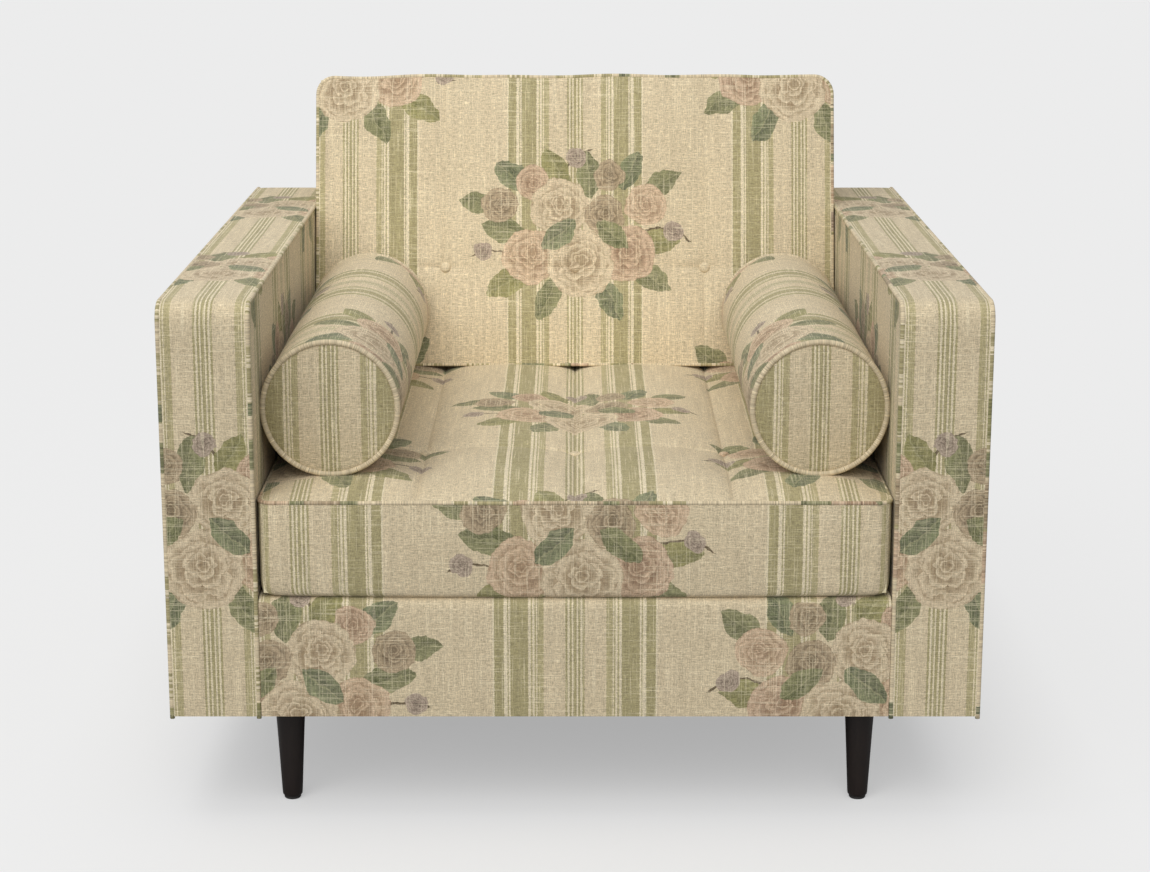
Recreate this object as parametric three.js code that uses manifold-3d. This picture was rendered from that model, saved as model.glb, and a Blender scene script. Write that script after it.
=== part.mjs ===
// A low club armchair with straight arms on four turned legs.
// It has a loose seat cushion, a loose leaning back cushion and two loose bolsters.
// Millimetres. +Z is up, the front faces -Y, and the origin is on the floor under the middle.

import * as THREE from 'three';
import { mergeVertices } from 'three/addons/utils/BufferGeometryUtils.js';
import Module from 'manifold-3d';

const wasm = await Module();
wasm.setup();

// Overall sizes
const chairWidth = 1000;
const chairDepth = 1021;
const armHeight = 652;
const armWidth = 113;
const backHeight = 745;
const legHeight = 133;
const deckHeight = 285;

// Gap left between two pieces that touch
const fit = 0.3;

// Upholstery over the frame
const padThickness = 13;
const armCornerRadius = 25;
const apronEdgeRadius = 12;
const apronLipDepth = 56;
const backEdgeRadius = 18;
const pipingRadius = 3;
const pipingProud = 1.2;

// Frame timber
const boardThickness = 28;
const armRailThickness = 22;
const sideFrameThickness = 22;
const topRailHeight = 80;
const lowerRailHeight = 60;
const blockReach = 110;
const blockThickness = 40;

// Deck, springs, back webbing and dust cover
const deckThickness = 14;
const dustCoverThickness = 1.2;
const springCount = 4;
const springMargin = 146;
const springWireRadius = 2;
const springWidth = 44;
const springPitch = 96;
const springRise = 6;
const webbingWidth = 50;
const webbingThickness = 2;
const webbingHeights = [440, 590];

// Legs
const legInset = 141;
const legSetback = 70;
const legTopRadius = 19.5;
const legBottomRadius = 12.5;
const boltRadius = 4;
const boltReach = 34;
const glideRadius = 10.5;
const glideThickness = 4;
const glidePinRadius = 1.6;
const glidePinLength = 15;

// Cushion covers and buttons
const coverWall = 5;
const columnWidth = 193;
const edgeRun = 80;
const zipWidth = 5;
const buttonRadius = 8;
const buttonHeight = 5;
const buttonSink = 2;
const dimpleDepth = 4;

// Seat cushion
const seatBoxing = 121;
const seatCrown = 12.5;
const seatCornerRadius = 20;
const seatSeamDepth = 7;
const seatRowDepth = 3;
const seatRowFromFront = 235;
const seatEdgeRoll = 6;
const seatZipLength = 560;

// Back cushion
const backTopThickness = 67;
const backLean = THREE.MathUtils.degToRad(14.5);
const backCushionLength = 436;
const backCushionThickness = 130;
const backCornerRadius = 28;
const backCrown = 8;
const backSeamDepth = 5;
const backRowDepth = 2;
const backRowHeight = 147.5;
const backEdgeRoll = 8;
const backZipLength = 560;

// Bolsters
const bolsterRadius = 85.2;
const bolsterRearGap = 3;
const bolsterSetback = 80;
const bolsterEdgeRadius = 9;
const bolsterPipingProud = 1;
const bolsterEndDome = 4;
const bolsterZipLength = 420;

// Facets
const pipingSides = 6;
const springSides = 5;
const cornerSteps = 4;
const turnedSides = 16;
const glideSides = 12;
const bolsterSides = 24;
const buttonSides = 10;

// How far a cutting shape runs past what it cuts
const overrun = 20;

// Faces of the upholstered body
const xOut = chairWidth / 2;
const xIn = xOut - armWidth;
const yFront = -chairDepth / 2;
const yRear = chairDepth / 2;
const armInner = xIn + pipingProud;
const armOuter = xOut - pipingProud;
const coverFront = yFront + pipingProud;
const coverRear = yRear - pipingProud;
const armTop = armHeight - pipingProud;
const betweenArms = xIn - fit;
const pipingReach = pipingRadius * Math.cos(Math.PI / pipingSides);

// Inner faces of the padding, which the frame fills
const cavityIn = armInner + padThickness;
const cavityOut = armOuter - padThickness;
const cavityFront = coverFront + padThickness;
const cavityRear = coverRear - padThickness;
const cavityTop = armTop - padThickness;

// Levels of the seat's frame
const frameBottom = legHeight + dustCoverThickness + fit;
const deckBottom = deckHeight - deckThickness;
const springTop = deckBottom - fit;
const springEndLevel = springTop - springRise - springWireRadius;
const railTop = springEndLevel - springWireRadius - fit;

// Loose cushions
const seatBottom = deckHeight + fit;
const seatEdge = seatBottom + seatBoxing;
const seatTop = seatEdge + seatCrown;
const backFootZ = seatTop + fit;

// The inside of the back leans with the back cushion
function insideBack(z) {
  return yRear - backTopThickness - (backHeight - z) * Math.tan(backLean);
}

const backFootY = insideBack(backFootZ) - (backCushionThickness + fit) / Math.cos(backLean);

const leanWall = padThickness / Math.cos(backLean);
const leanFit = fit / Math.cos(backLean);
const seatRear = insideBack(seatBottom) - fit;

// Materials
function finish(color, roughness, metalness = 0) {
  return new THREE.MeshStandardMaterial({ color, roughness, metalness });
}

const linen = finish(0xbfb08f, 0.9);
const pipingCloth = finish(0xa9a07a, 0.9);
const foam = finish(0xe8dfb8, 0.95);
const beech = finish(0xc9a877, 0.6);
const espresso = finish(0x33231a, 0.45);
const nylon = finish(0x2a2826, 0.5);
const springSteel = finish(0x6f7276, 0.35, 0.9);
const webbing = finish(0x8c7a55, 0.9);
const dustCloth = finish(0x242424, 0.95);

// A closed mesh with shared corners, no empty triangles, and its faces outwards
function closedMesh(geometry) {
  const source = geometry.clone();
  source.deleteAttribute('normal');
  source.deleteAttribute('uv');
  const merged = mergeVertices(source, 1e-4);
  const place = merged.getAttribute('position');
  const corners = merged.getIndex().array;
  const kept = [];
  let volume = 0;
  const a = new THREE.Vector3();
  const b = new THREE.Vector3();
  const c = new THREE.Vector3();
  for (let i = 0; i < corners.length; i += 3) {
    const [p, q, r] = corners.slice(i, i + 3);
    if (p === q || q === r || r === p) continue;
    kept.push(p, q, r);
    a.fromBufferAttribute(place, p);
    b.fromBufferAttribute(place, q);
    c.fromBufferAttribute(place, r);
    volume += a.dot(b.cross(c));
  }
  if (volume < 0) kept.reverse();
  merged.clearGroups();
  merged.setIndex(kept);
  return merged;
}

function toSolid(geometry) {
  const closed = closedMesh(geometry);
  return new wasm.Manifold(new wasm.Mesh({
    numProp: 3,
    vertProperties: new Float32Array(closed.getAttribute('position').array),
    triVerts: new Uint32Array(closed.getIndex().array),
  }));
}

function toGeometry(solid) {
  const mesh = solid.getMesh();
  const geometry = new THREE.BufferGeometry();
  geometry.setAttribute('position', new THREE.BufferAttribute(mesh.vertProperties, 3));
  geometry.setIndex(new THREE.BufferAttribute(mesh.triVerts, 1));
  return geometry;
}

function cut(geometry, ...tools) {
  return toGeometry(tools.reduce((solid, tool) => solid.subtract(toSolid(tool)), toSolid(geometry)));
}

// A block between pairs of faces, each pair in any order
function block(x, y, z) {
  const low = [x, y, z].map((pair) => Math.min(...pair));
  const high = [x, y, z].map((pair) => Math.max(...pair));
  const size = high.map((value, axis) => value - low[axis]);
  const middle = high.map((value, axis) => (value + low[axis]) / 2);
  return new THREE.BoxGeometry(...size).translate(...middle);
}

function bothSides(side, near, far) {
  return [side * near, side * far];
}

// A side view drawn in Y and Z, drawn out along X
function sidewaysExtrusion(shape, x) {
  const low = Math.min(...x);
  const width = Math.abs(x[1] - x[0]);
  const settings = { depth: width, bevelEnabled: false, curveSegments: cornerSteps };
  const geometry = new THREE.ExtrudeGeometry(shape, settings);
  // The drawing's own axes become Y and Z, and its depth becomes X
  const turn = new THREE.Matrix4().makeBasis(
    new THREE.Vector3(0, 1, 0),
    new THREE.Vector3(0, 0, 1),
    new THREE.Vector3(1, 0, 0),
  );
  return geometry.applyMatrix4(turn).translate(low, 0, 0);
}

function polygon(points) {
  return new THREE.Shape(points.map(([x, y]) => new THREE.Vector2(x, y)));
}

function turned(profile, sides) {
  return new THREE.LatheGeometry(profile.map(([r, y]) => new THREE.Vector2(r, y)), sides);
}

// A route through chosen points, with one ring of a tube at each
class Route extends THREE.Curve {
  constructor(points, loop = false) {
    super();
    this.points = points;
    this.legs = loop ? points.length : points.length - 1;
  }

  getPoint(t, target = new THREE.Vector3()) {
    const place = Math.min(Math.max(t, 0), 1) * this.legs;
    const index = Math.min(Math.floor(place), this.legs - 1);
    const next = this.points[(index + 1) % this.points.length];
    return target.lerpVectors(this.points[index], next, place - index);
  }

  getPointAt(u, target) {
    return this.getPoint(u, target);
  }

  getTangentAt(u, target) {
    return this.getTangent(u, target);
  }
}

function openTube(points, radius, sideCount = pipingSides) {
  const route = new Route(points);
  const section = new THREE.Shape();
  for (let i = 0; i < sideCount; i += 1) {
    const angle = (i / sideCount) * 2 * Math.PI;
    const corner = [radius * Math.cos(angle), radius * Math.sin(angle)];
    if (i === 0) section.moveTo(...corner);
    else section.lineTo(...corner);
  }
  return new THREE.ExtrudeGeometry(section, { steps: route.legs, extrudePath: route, bevelEnabled: false });
}

function loopTube(points, radius) {
  const route = new Route(points, true);
  return new THREE.TubeGeometry(route, route.legs, radius, pipingSides, true);
}

// Quarter turn of points about a centre, from one angle on
function quarter(centre, radius, start, steps = cornerSteps) {
  const points = [];
  for (let i = 0; i <= steps; i += 1) {
    const angle = start + (i / steps) * (Math.PI / 2);
    points.push([centre[0] + radius * Math.cos(angle), centre[1] + radius * Math.sin(angle)]);
  }
  return points;
}

// Outline of a rounded rectangle about x = 0, from the middle of its near edge round
function roundedOutline(halfWidth, near, far, radius) {
  const right = halfWidth - radius;
  return [
    [0, near],
    ...quarter([right, near + radius], radius, -Math.PI / 2),
    ...quarter([right, far - radius], radius, 0),
    [0, far],
    ...quarter([-right, far - radius], radius, Math.PI / 2),
    ...quarter([-right, near + radius], radius, Math.PI),
  ];
}

const chair = new THREE.Group();

function add(name, geometry, material, parent = chair) {
  const mesh = new THREE.Mesh(closedMesh(geometry), material);
  mesh.name = name;
  parent.add(mesh);
  return mesh;
}

const sides = [['left', -1], ['right', 1]];
const ends = [['front', -1], ['rear', 1]];

// Rails, posts and side frames of the beech frame
const frame = new THREE.Group();
chair.add(frame);

const frontBoard = [cavityFront + fit, cavityFront + fit + boardThickness];
const rearBoard = [cavityRear - fit - boardThickness, cavityRear - fit];
const railLevels = [frameBottom, railTop];
const fullRail = [-(cavityOut - fit), cavityOut - fit];
add('front_rail', block(fullRail, frontBoard, railLevels), beech, frame);
add('rear_rail', block(fullRail, rearBoard, railLevels), beech, frame);

const armRailBottom = cavityTop - fit - armRailThickness;
for (const [label, side] of sides) {
  const sideBoard = bothSides(side, cavityIn + fit, cavityIn + fit + boardThickness);
  const postWidth = bothSides(side, cavityIn + fit, cavityOut - fit);
  const postLevels = [railTop + fit, armRailBottom - fit];
  const armRailRun = [frontBoard[0], rearBoard[1]];
  const sideRailRun = [frontBoard[1] + fit, rearBoard[0] - fit];
  add(`side_rail_${label}`, block(sideBoard, sideRailRun, railLevels), beech, frame);
  add(`arm_front_post_${label}`, block(postWidth, frontBoard, postLevels), beech, frame);
  add(`arm_rear_post_${label}`, block(postWidth, rearBoard, postLevels), beech, frame);
  const armRailLevels = [armRailBottom, cavityTop - fit];
  add(`arm_top_rail_${label}`, block(postWidth, armRailRun, armRailLevels), beech, frame);
}

// The back's side frames are boards cut to the wedge between the leaning and the upright face
const backCavityTop = backHeight - padThickness;
const sideFrameOuter = betweenArms - padThickness - fit;
const sideFrameInner = sideFrameOuter - sideFrameThickness;
const betweenSideFrames = [-(sideFrameInner - fit), sideFrameInner - fit];
const backWedge = polygon([
  [insideBack(railTop + fit) + leanWall + leanFit, railTop + fit],
  [rearBoard[1], railTop + fit],
  [rearBoard[1], backCavityTop - fit],
  [insideBack(backCavityTop - fit) + leanWall + leanFit, backCavityTop - fit],
]);
for (const [label, side] of sides) {
  const thickness = bothSides(side, sideFrameInner, sideFrameOuter);
  add(`back_side_frame_${label}`, sidewaysExtrusion(backWedge, thickness), beech, frame);
}
add('back_top_rail', block(
  betweenSideFrames,
  rearBoard,
  [backCavityTop - fit - topRailHeight, backCavityTop - fit],
), beech, frame);
const lowerRailTop = deckBottom + fit + lowerRailHeight;
const lowerRailFront = insideBack(lowerRailTop) + leanWall + leanFit;
add('back_lower_rail', block(
  betweenSideFrames,
  [lowerRailFront, lowerRailFront + boardThickness],
  [deckBottom + fit, lowerRailTop],
), beech, frame);

// Two straps of webbing behind the leaning face
webbingHeights.forEach((height, index) => {
  const strap = add(
    index === 0 ? 'back_webbing_lower' : 'back_webbing_upper',
    new THREE.BoxGeometry(betweenSideFrames[1] - betweenSideFrames[0], webbingThickness, webbingWidth),
    webbing,
    frame,
  );
  const depth = padThickness + fit + webbingThickness / 2;
  strap.rotation.x = -backLean;
  strap.position.set(0, insideBack(height) + depth / Math.cos(backLean), height);
});

// Corner blocks, each drilled for its leg's bolt
const legX = xOut - legInset;
const legY = chairDepth / 2 - legSetback;
const blockCornerX = cavityIn;
const blockCornerY = rearBoard[0] - fit;
for (const [end, toRear] of ends) {
  for (const [label, side] of sides) {
    const triangle = new THREE.Shape();
    triangle.moveTo(side * blockCornerX, toRear * blockCornerY);
    triangle.lineTo(side * (blockCornerX - blockReach), toRear * blockCornerY);
    triangle.lineTo(side * blockCornerX, toRear * (blockCornerY - blockReach));
    triangle.closePath();
    const plate = new THREE.ExtrudeGeometry(triangle, { depth: blockThickness, bevelEnabled: false });
    const hole = boltHole(side * legX, toRear * legY, [frameBottom, frameBottom + blockThickness]);
    add(`corner_block_${end}_${label}`, cut(plate.translate(0, 0, frameBottom), hole), beech, frame);
  }
}

function boltHole(x, y, levels) {
  const height = levels[1] - levels[0] + 2 * overrun;
  const hole = new THREE.CylinderGeometry(boltRadius + fit, boltRadius + fit, height, turnedSides);
  return hole.rotateX(Math.PI / 2).translate(x, y, (levels[0] + levels[1]) / 2);
}

// Sinuous springs from rail to rail, arched in the middle
function springPoints(x) {
  const start = (frontBoard[0] + frontBoard[1]) / 2;
  const run = -2 * start;
  const waves = Math.max(2, Math.round(run / springPitch));
  const stepsPerWave = 4;
  const reach = springWidth / 2;
  const shape = [[0, 0], [1, 0.12], [1, 0.38], [-1, 0.62], [-1, 0.88]];
  const points = [];
  for (let wave = 0; wave < waves; wave += 1) {
    for (const [sway, share] of shape.slice(wave === 0 ? 0 : 1, stepsPerWave + 1)) {
      const along = (wave + share) / waves;
      const rise = springRise * Math.sin(along * Math.PI);
      points.push(new THREE.Vector3(x + sway * reach, start + along * run, springEndLevel + rise));
    }
  }
  points.push(new THREE.Vector3(x, start + run, springEndLevel));
  return points;
}

const springSpacing = (2 * (cavityIn - springMargin)) / (springCount - 1);
for (let i = 0; i < springCount; i += 1) {
  const x = (i - (springCount - 1) / 2) * springSpacing;
  add(`seat_spring_${i + 1}`, openTube(springPoints(x), springWireRadius, springSides), springSteel, frame);
}

// Deck over the springs, and dust cover under the frame
const apronLipRear = cavityFront + apronLipDepth;
const deckRun = [apronLipRear + fit, insideBack(deckBottom) - fit];
const deckAcross = [-(armInner - fit), armInner - fit];
add('seat_deck', block(deckAcross, deckRun, [deckBottom, deckHeight]), linen, frame);

const dustLevels = [legHeight, legHeight + dustCoverThickness];
const dustSheet = block(fullRail, [frontBoard[0], rearBoard[1]], dustLevels);
const dustHoles = ends.flatMap(([, toRear]) => sides.map(([, side]) => (
  boltHole(side * legX, toRear * legY, dustLevels)
)));
add('dust_cover', cut(dustSheet, ...dustHoles), dustCloth, frame);

// Turned legs with their bolts, and nylon glides pinned into their ends
const legTop = legHeight - fit;
const legFoot = glideThickness + fit;
const legProfile = [
  [0, legFoot + glidePinLength + fit],
  [glidePinRadius + fit, legFoot + glidePinLength + fit],
  [glidePinRadius + fit, legFoot],
  [legBottomRadius, legFoot],
  [legTopRadius, legTop],
  [boltRadius, legTop],
  [boltRadius, legTop + boltReach],
  [0, legTop + boltReach],
];
const glideProfile = [
  [0, 0],
  [glideRadius * 0.8, 0],
  [glideRadius, glideThickness * 0.4],
  [glideRadius, glideThickness],
  [glidePinRadius, glideThickness],
  [glidePinRadius, legFoot + glidePinLength],
  [0, legFoot + glidePinLength],
];
const legs = new THREE.Group();
chair.add(legs);
for (const [end, toRear] of ends) {
  for (const [label, side] of sides) {
    const stand = new THREE.Group();
    stand.position.set(side * legX, toRear * legY, 0);
    legs.add(stand);
    const leg = turned(legProfile, turnedSides).rotateX(Math.PI / 2);
    const glide = turned(glideProfile, glideSides).rotateX(Math.PI / 2);
    add(`leg_${end}_${label}`, leg, espresso, stand);
    add(`leg_glide_${end}_${label}`, glide, nylon, stand);
  }
}

// Arms: padded covers open below, with piping along both edges of the front, top and rear strip
const upholstery = new THREE.Group();
chair.add(upholstery);

function armOutline(inset, radius) {
  const front = yFront + inset;
  const rear = yRear - inset;
  const top = armHeight - inset;
  const turn = quarter([front + radius, top - radius], radius, Math.PI / 2).reverse();
  const back = quarter([rear - radius, top - radius], radius, 0).reverse();
  return [[front, legHeight], ...turn, ...back, [rear, legHeight]];
}

for (const [label, side] of sides) {
  const outline = polygon(armOutline(pipingProud, armCornerRadius - pipingProud));
  const body = sidewaysExtrusion(outline, bothSides(side, armInner, armOuter));
  const cavityRun = [cavityFront, cavityRear];
  const cavity = block(bothSides(side, cavityIn, cavityOut), cavityRun, [legHeight - overrun, cavityTop]);
  const tuckIn = block(
    bothSides(side, armInner - overrun, cavityIn + fit),
    cavityRun,
    [legHeight - overrun, railTop + fit],
  );
  const edges = [['inner', xIn + pipingReach], ['outer', xOut - pipingReach]];
  const path = armOutline(pipingRadius, armCornerRadius - pipingRadius);
  const grooves = [];
  for (const [edge, x] of edges) {
    const route = path.map(([y, z]) => new THREE.Vector3(side * x, y, z));
    const longRoute = route.map((point) => point.clone());
    longRoute[0].z -= overrun;
    longRoute[longRoute.length - 1].z -= overrun;
    grooves.push(openTube(longRoute, pipingRadius + fit));
    add(`arm_piping_${label}_${edge}`, openTube(route, pipingRadius), pipingCloth, upholstery);
  }
  add(`arm_cover_${label}`, cut(body, cavity, tuckIn, ...grooves), linen, upholstery);
}

// Apron over the front rail, with a lip that runs back to the deck
const apronShape = new THREE.Shape();
apronShape.moveTo(coverFront, legHeight);
apronShape.lineTo(cavityFront, legHeight);
apronShape.lineTo(cavityFront, deckBottom);
apronShape.lineTo(apronLipRear, deckBottom);
apronShape.lineTo(apronLipRear, deckHeight);
apronShape.lineTo(coverFront + apronEdgeRadius, deckHeight);
apronShape.absarc(
  coverFront + apronEdgeRadius,
  deckHeight - apronEdgeRadius,
  apronEdgeRadius,
  Math.PI / 2,
  Math.PI,
  false,
);
apronShape.closePath();
add('apron_cover', sidewaysExtrusion(apronShape, [-betweenArms, betweenArms]), linen, upholstery);

// Back: upright outside, leaning inside, open below
const backTopFront = insideBack(backHeight);
const backOuter = polygon([
  [cavityRear, legHeight],
  [coverRear, legHeight],
  ...quarter([coverRear - backEdgeRadius, backHeight - backEdgeRadius], backEdgeRadius, 0),
  ...quarter([backTopFront + backEdgeRadius, backHeight - backEdgeRadius], backEdgeRadius, Math.PI / 2),
  [insideBack(deckBottom), deckBottom],
  [cavityRear, deckBottom],
]);
const backInner = polygon([
  [insideBack(deckBottom - overrun) + leanWall, deckBottom - overrun],
  [cavityRear, deckBottom - overrun],
  [cavityRear, backCavityTop],
  [insideBack(backCavityTop) + leanWall, backCavityTop],
]);
const backBody = sidewaysExtrusion(backOuter, [-betweenArms, betweenArms]);
const backHollowHalf = betweenArms - padThickness;
const backHollow = sidewaysExtrusion(backInner, [-backHollowHalf, backHollowHalf]);
add('back_cover', cut(backBody, backHollow), linen, upholstery);

// Lines of a quilted cushion's grid, close together at the corners and one on each seam
function evenly(from, to, count) {
  return Array.from({ length: count }, (_, i) => from + ((to - from) * i) / count);
}

function acrossLines(half, corner) {
  const right = [
    ...evenly(0, columnWidth, 4),
    ...evenly(columnWidth, half - corner, 3),
    half - corner,
    half - corner / 2,
    half,
  ];
  return [...right.slice(1).map((x) => -x).reverse(), ...right];
}

function alongLines(near, far, row, corner) {
  return [
    near,
    near + corner / 2,
    ...evenly(near + corner, row, 3),
    ...evenly(row, far - corner, 4),
    far - corner,
    far - corner / 2,
    far,
  ];
}

// A quilted pad: x across, y along, z through it, with its face at the top
function quiltedPad(pad) {
  const xs = acrossLines(pad.half, pad.corner);
  const ys = alongLines(pad.near, pad.far, pad.row, pad.corner);
  const zs = [0, pad.edgeRoll, pad.thickness];
  const counts = [xs, ys, zs].map((lines) => lines.length - 1);
  const geometry = new THREE.BoxGeometry(1, 1, 1, ...counts);
  const place = geometry.getAttribute('position');
  for (let i = 0; i < place.count; i += 1) {
    const [x, y, z] = [xs, ys, zs].map((lines, axis) => (
      lines[Math.round((place.getComponent(i, axis) + 0.5) * counts[axis])]
    ));
    const tuck = z === 0 ? pad.edgeRoll / 2 : 0;
    const round = roundCorner(x, y, pad, tuck);
    place.setXYZ(i, ...round, z === pad.thickness ? z + pad.rise(x, y) : z);
  }
  return geometry;
}

function roundCorner(x, y, pad, tuck) {
  const middle = (pad.near + pad.far) / 2;
  const halfLength = (pad.far - pad.near) / 2;
  const shrinkX = (pad.half - tuck) / pad.half;
  const shrinkY = (halfLength - tuck) / halfLength;
  const [u, v] = [x, y - middle];
  const dx = Math.abs(u) - (pad.half - pad.corner);
  const dy = Math.abs(v) - (halfLength - pad.corner);
  if (dx <= 0 || dy <= 0) return [u * shrinkX, middle + v * shrinkY];
  const scale = Math.max(dx, dy) / Math.hypot(dx, dy);
  const roundX = Math.sign(u) * (pad.half - pad.corner + dx * scale);
  const roundY = Math.sign(v) * (halfLength - pad.corner + dy * scale);
  return [roundX * shrinkX, middle + roundY * shrinkY];
}

const buttonPlaces = [['left', -columnWidth], ['middle', 0], ['right', columnWidth]];

// Height of a pad's face above its edge: full in each column, pulled in at seams and buttons
function padRise(pad, x, y) {
  const inX = Math.min(1, (pad.half - Math.abs(x)) / edgeRun);
  const inY = Math.min(1, Math.min(y - pad.near, pad.far - y) / edgeRun);
  const swell = Math.sin((inX * Math.PI) / 2) * Math.sin((inY * Math.PI) / 2);
  const outer = Math.abs(x) > columnWidth;
  const columnSpan = outer ? pad.half - columnWidth : columnWidth;
  const intoColumn = (outer ? Math.abs(x) - columnWidth : Math.abs(x)) / columnSpan;
  const fromSeam = outer ? Math.min(intoColumn, 0.5) : intoColumn;
  const seam = pad.seamDepth * (1 - Math.sin(fromSeam * Math.PI));
  const fromRow = Math.min(1, Math.abs(y - pad.row) / edgeRun);
  const row = pad.rowDepth * (1 - fromRow) ** 2;
  const onButton = Math.abs(y - pad.row) < 1 && buttonPlaces.some(([, place]) => Math.abs(x - place) < 1);
  return swell * (pad.crown - seam - row) - (onButton ? dimpleDepth : 0);
}

const buttonProfile = [
  [0, 0],
  [buttonRadius, 0],
  [buttonRadius, buttonHeight * 0.3],
  [buttonRadius * 0.8, buttonHeight * 0.7],
  [buttonRadius * 0.4, buttonHeight * 0.94],
  [0, buttonHeight],
];

// Level of the flat under a button, above the pad's own underside
function buttonFloor(pad) {
  return pad.thickness + padRise(pad, 0, pad.row) - buttonSink;
}

function buttonPocket(x, y, floor) {
  const height = overrun;
  const pocket = new THREE.CylinderGeometry(buttonRadius + fit, buttonRadius + fit, height, buttonSides);
  return pocket.rotateX(Math.PI / 2).translate(x, y, floor + height / 2);
}

function addButtons(pad, name, parent) {
  for (const [label, x] of buttonPlaces) {
    const button = turned(buttonProfile, buttonSides).rotateX(Math.PI / 2);
    const mesh = add(`${name}_${label}`, button, pipingCloth, parent);
    mesh.position.set(x, pad.row, buttonFloor(pad) + fit);
  }
}

// Piping runs just inside the pad's own envelope, at the edge of its face
function pipingRoute(pad) {
  const outline = roundedOutline(
    pad.half + pipingProud - pipingRadius,
    pad.near - pipingProud + pipingRadius,
    pad.far + pipingProud - pipingRadius,
    pad.corner + pipingProud - pipingRadius,
  );
  const level = pad.thickness + pipingProud - pipingRadius;
  return outline.map(([x, y]) => new THREE.Vector3(x, y, level));
}

// Seat cushion, drawn from its own underside up
const seatCushion = new THREE.Group();
seatCushion.position.z = seatBottom;
chair.add(seatCushion);
const seatPad = {
  half: betweenArms - pipingProud,
  near: coverFront,
  far: seatRear - pipingProud,
  row: yFront + seatRowFromFront,
  thickness: seatBoxing,
  corner: seatCornerRadius,
  edgeRoll: seatEdgeRoll,
  crown: seatCrown,
  seamDepth: seatSeamDepth,
  rowDepth: seatRowDepth,
};
seatPad.rise = (x, y) => padRise(seatPad, x, y);

const seatHollowTop = buttonFloor(seatPad) - coverWall;
const seatHollow = block(
  [-(seatPad.half - coverWall), seatPad.half - coverWall],
  [seatPad.near + coverWall, seatPad.far - coverWall],
  [coverWall, seatHollowTop],
);
const seatZip = block(
  [-seatZipLength / 2, seatZipLength / 2],
  [seatPad.far - coverWall - 1, seatPad.far + overrun],
  [(seatBoxing - zipWidth) / 2, (seatBoxing + zipWidth) / 2],
);
const seatPockets = buttonPlaces.map(([, x]) => buttonPocket(x, seatPad.row, buttonFloor(seatPad)));
add('seat_cushion_cover', cut(
  quiltedPad(seatPad),
  seatHollow,
  seatZip,
  loopTube(pipingRoute(seatPad), pipingRadius + fit),
  ...seatPockets,
), linen, seatCushion);
add('seat_cushion_core', block(
  [-(seatPad.half - coverWall - fit), seatPad.half - coverWall - fit],
  [seatPad.near + coverWall + fit, seatPad.far - coverWall - fit],
  [coverWall + fit, seatHollowTop - fit],
), foam, seatCushion);
add('seat_cushion_piping', loopTube(pipingRoute(seatPad), pipingRadius), pipingCloth, seatCushion);
addButtons(seatPad, 'seat_button', seatCushion);

// Back cushion: x across, y up the slope, z out of its rear face towards the front
const backCushion = new THREE.Group();
backCushion.rotation.x = Math.PI / 2 - backLean;
backCushion.position.set(
  0,
  backFootY + backCushionThickness * Math.cos(backLean),
  backFootZ - backCushionThickness * Math.sin(backLean),
);
chair.add(backCushion);
const backPad = {
  half: betweenArms - pipingProud,
  near: pipingProud,
  far: backCushionLength - pipingProud,
  row: backRowHeight,
  thickness: backCushionThickness,
  corner: backCornerRadius,
  edgeRoll: backEdgeRoll,
  crown: backCrown,
  seamDepth: backSeamDepth,
  rowDepth: backRowDepth,
};
backPad.rise = (x, y) => padRise(backPad, x, y);

// The foot of the leaning cushion is level, so that it sits flat on the seat
function levelFoot(geometry) {
  const place = geometry.getAttribute('position');
  for (let i = 0; i < place.count; i += 1) {
    const along = place.getY(i);
    const depth = backCushionThickness - place.getZ(i);
    const share = 1 - along / backCushionLength;
    place.setY(i, along + share * Math.max(0, depth) * Math.tan(backLean));
  }
  return geometry;
}

function backCoreSection(inset, frontInset) {
  const foot = (depth) => depth * Math.tan(backLean) + inset / Math.cos(backLean);
  const face = backCushionThickness - frontInset;
  return polygon([
    [foot(frontInset), face],
    [foot(backCushionThickness - inset), inset],
    [backCushionLength - inset, inset],
    [backCushionLength - inset, face],
  ]);
}

const backFrontInset = backCushionThickness - buttonFloor(backPad) + coverWall;
const backInset = coverWall + pipingProud;
const backCoreHalf = backPad.half - coverWall;
const backHollowCore = sidewaysExtrusion(
  backCoreSection(backInset, backFrontInset),
  [-backCoreHalf, backCoreHalf],
);
const footMiddle = (backCushionThickness / 2) * Math.tan(backLean);
const backZip = block(
  [-backZipLength / 2, backZipLength / 2],
  [footMiddle - overrun, footMiddle + backInset + zipWidth],
  [(backCushionThickness - zipWidth) / 2, (backCushionThickness + zipWidth) / 2],
);
const backPockets = buttonPlaces.map(([, x]) => buttonPocket(x, backPad.row, buttonFloor(backPad)));
add('back_cushion_cover', cut(
  levelFoot(quiltedPad(backPad)),
  backHollowCore,
  backZip,
  loopTube(pipingRoute(backPad), pipingRadius + fit),
  ...backPockets,
), linen, backCushion);
add('back_cushion_core', sidewaysExtrusion(
  backCoreSection(backInset + fit, backFrontInset + fit),
  [-(backCoreHalf - fit), backCoreHalf - fit],
), foam, backCushion);
add('back_cushion_piping', loopTube(pipingRoute(backPad), pipingRadius), pipingCloth, backCushion);
addButtons(backPad, 'back_button', backCushion);

// Bolsters along the arms: a piped front end, and a welt that the cover has at its rear end
const bolsterReach = bolsterRadius + bolsterPipingProud;
const bolsterX = armInner - fit - bolsterReach;
const bolsterZ = seatTop + fit + bolsterRadius;
const bolsterFront = yFront + bolsterSetback;
const bolsterLength = backFootY - bolsterRearGap - bolsterFront;
const ringRadius = bolsterReach - pipingRadius;

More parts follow.
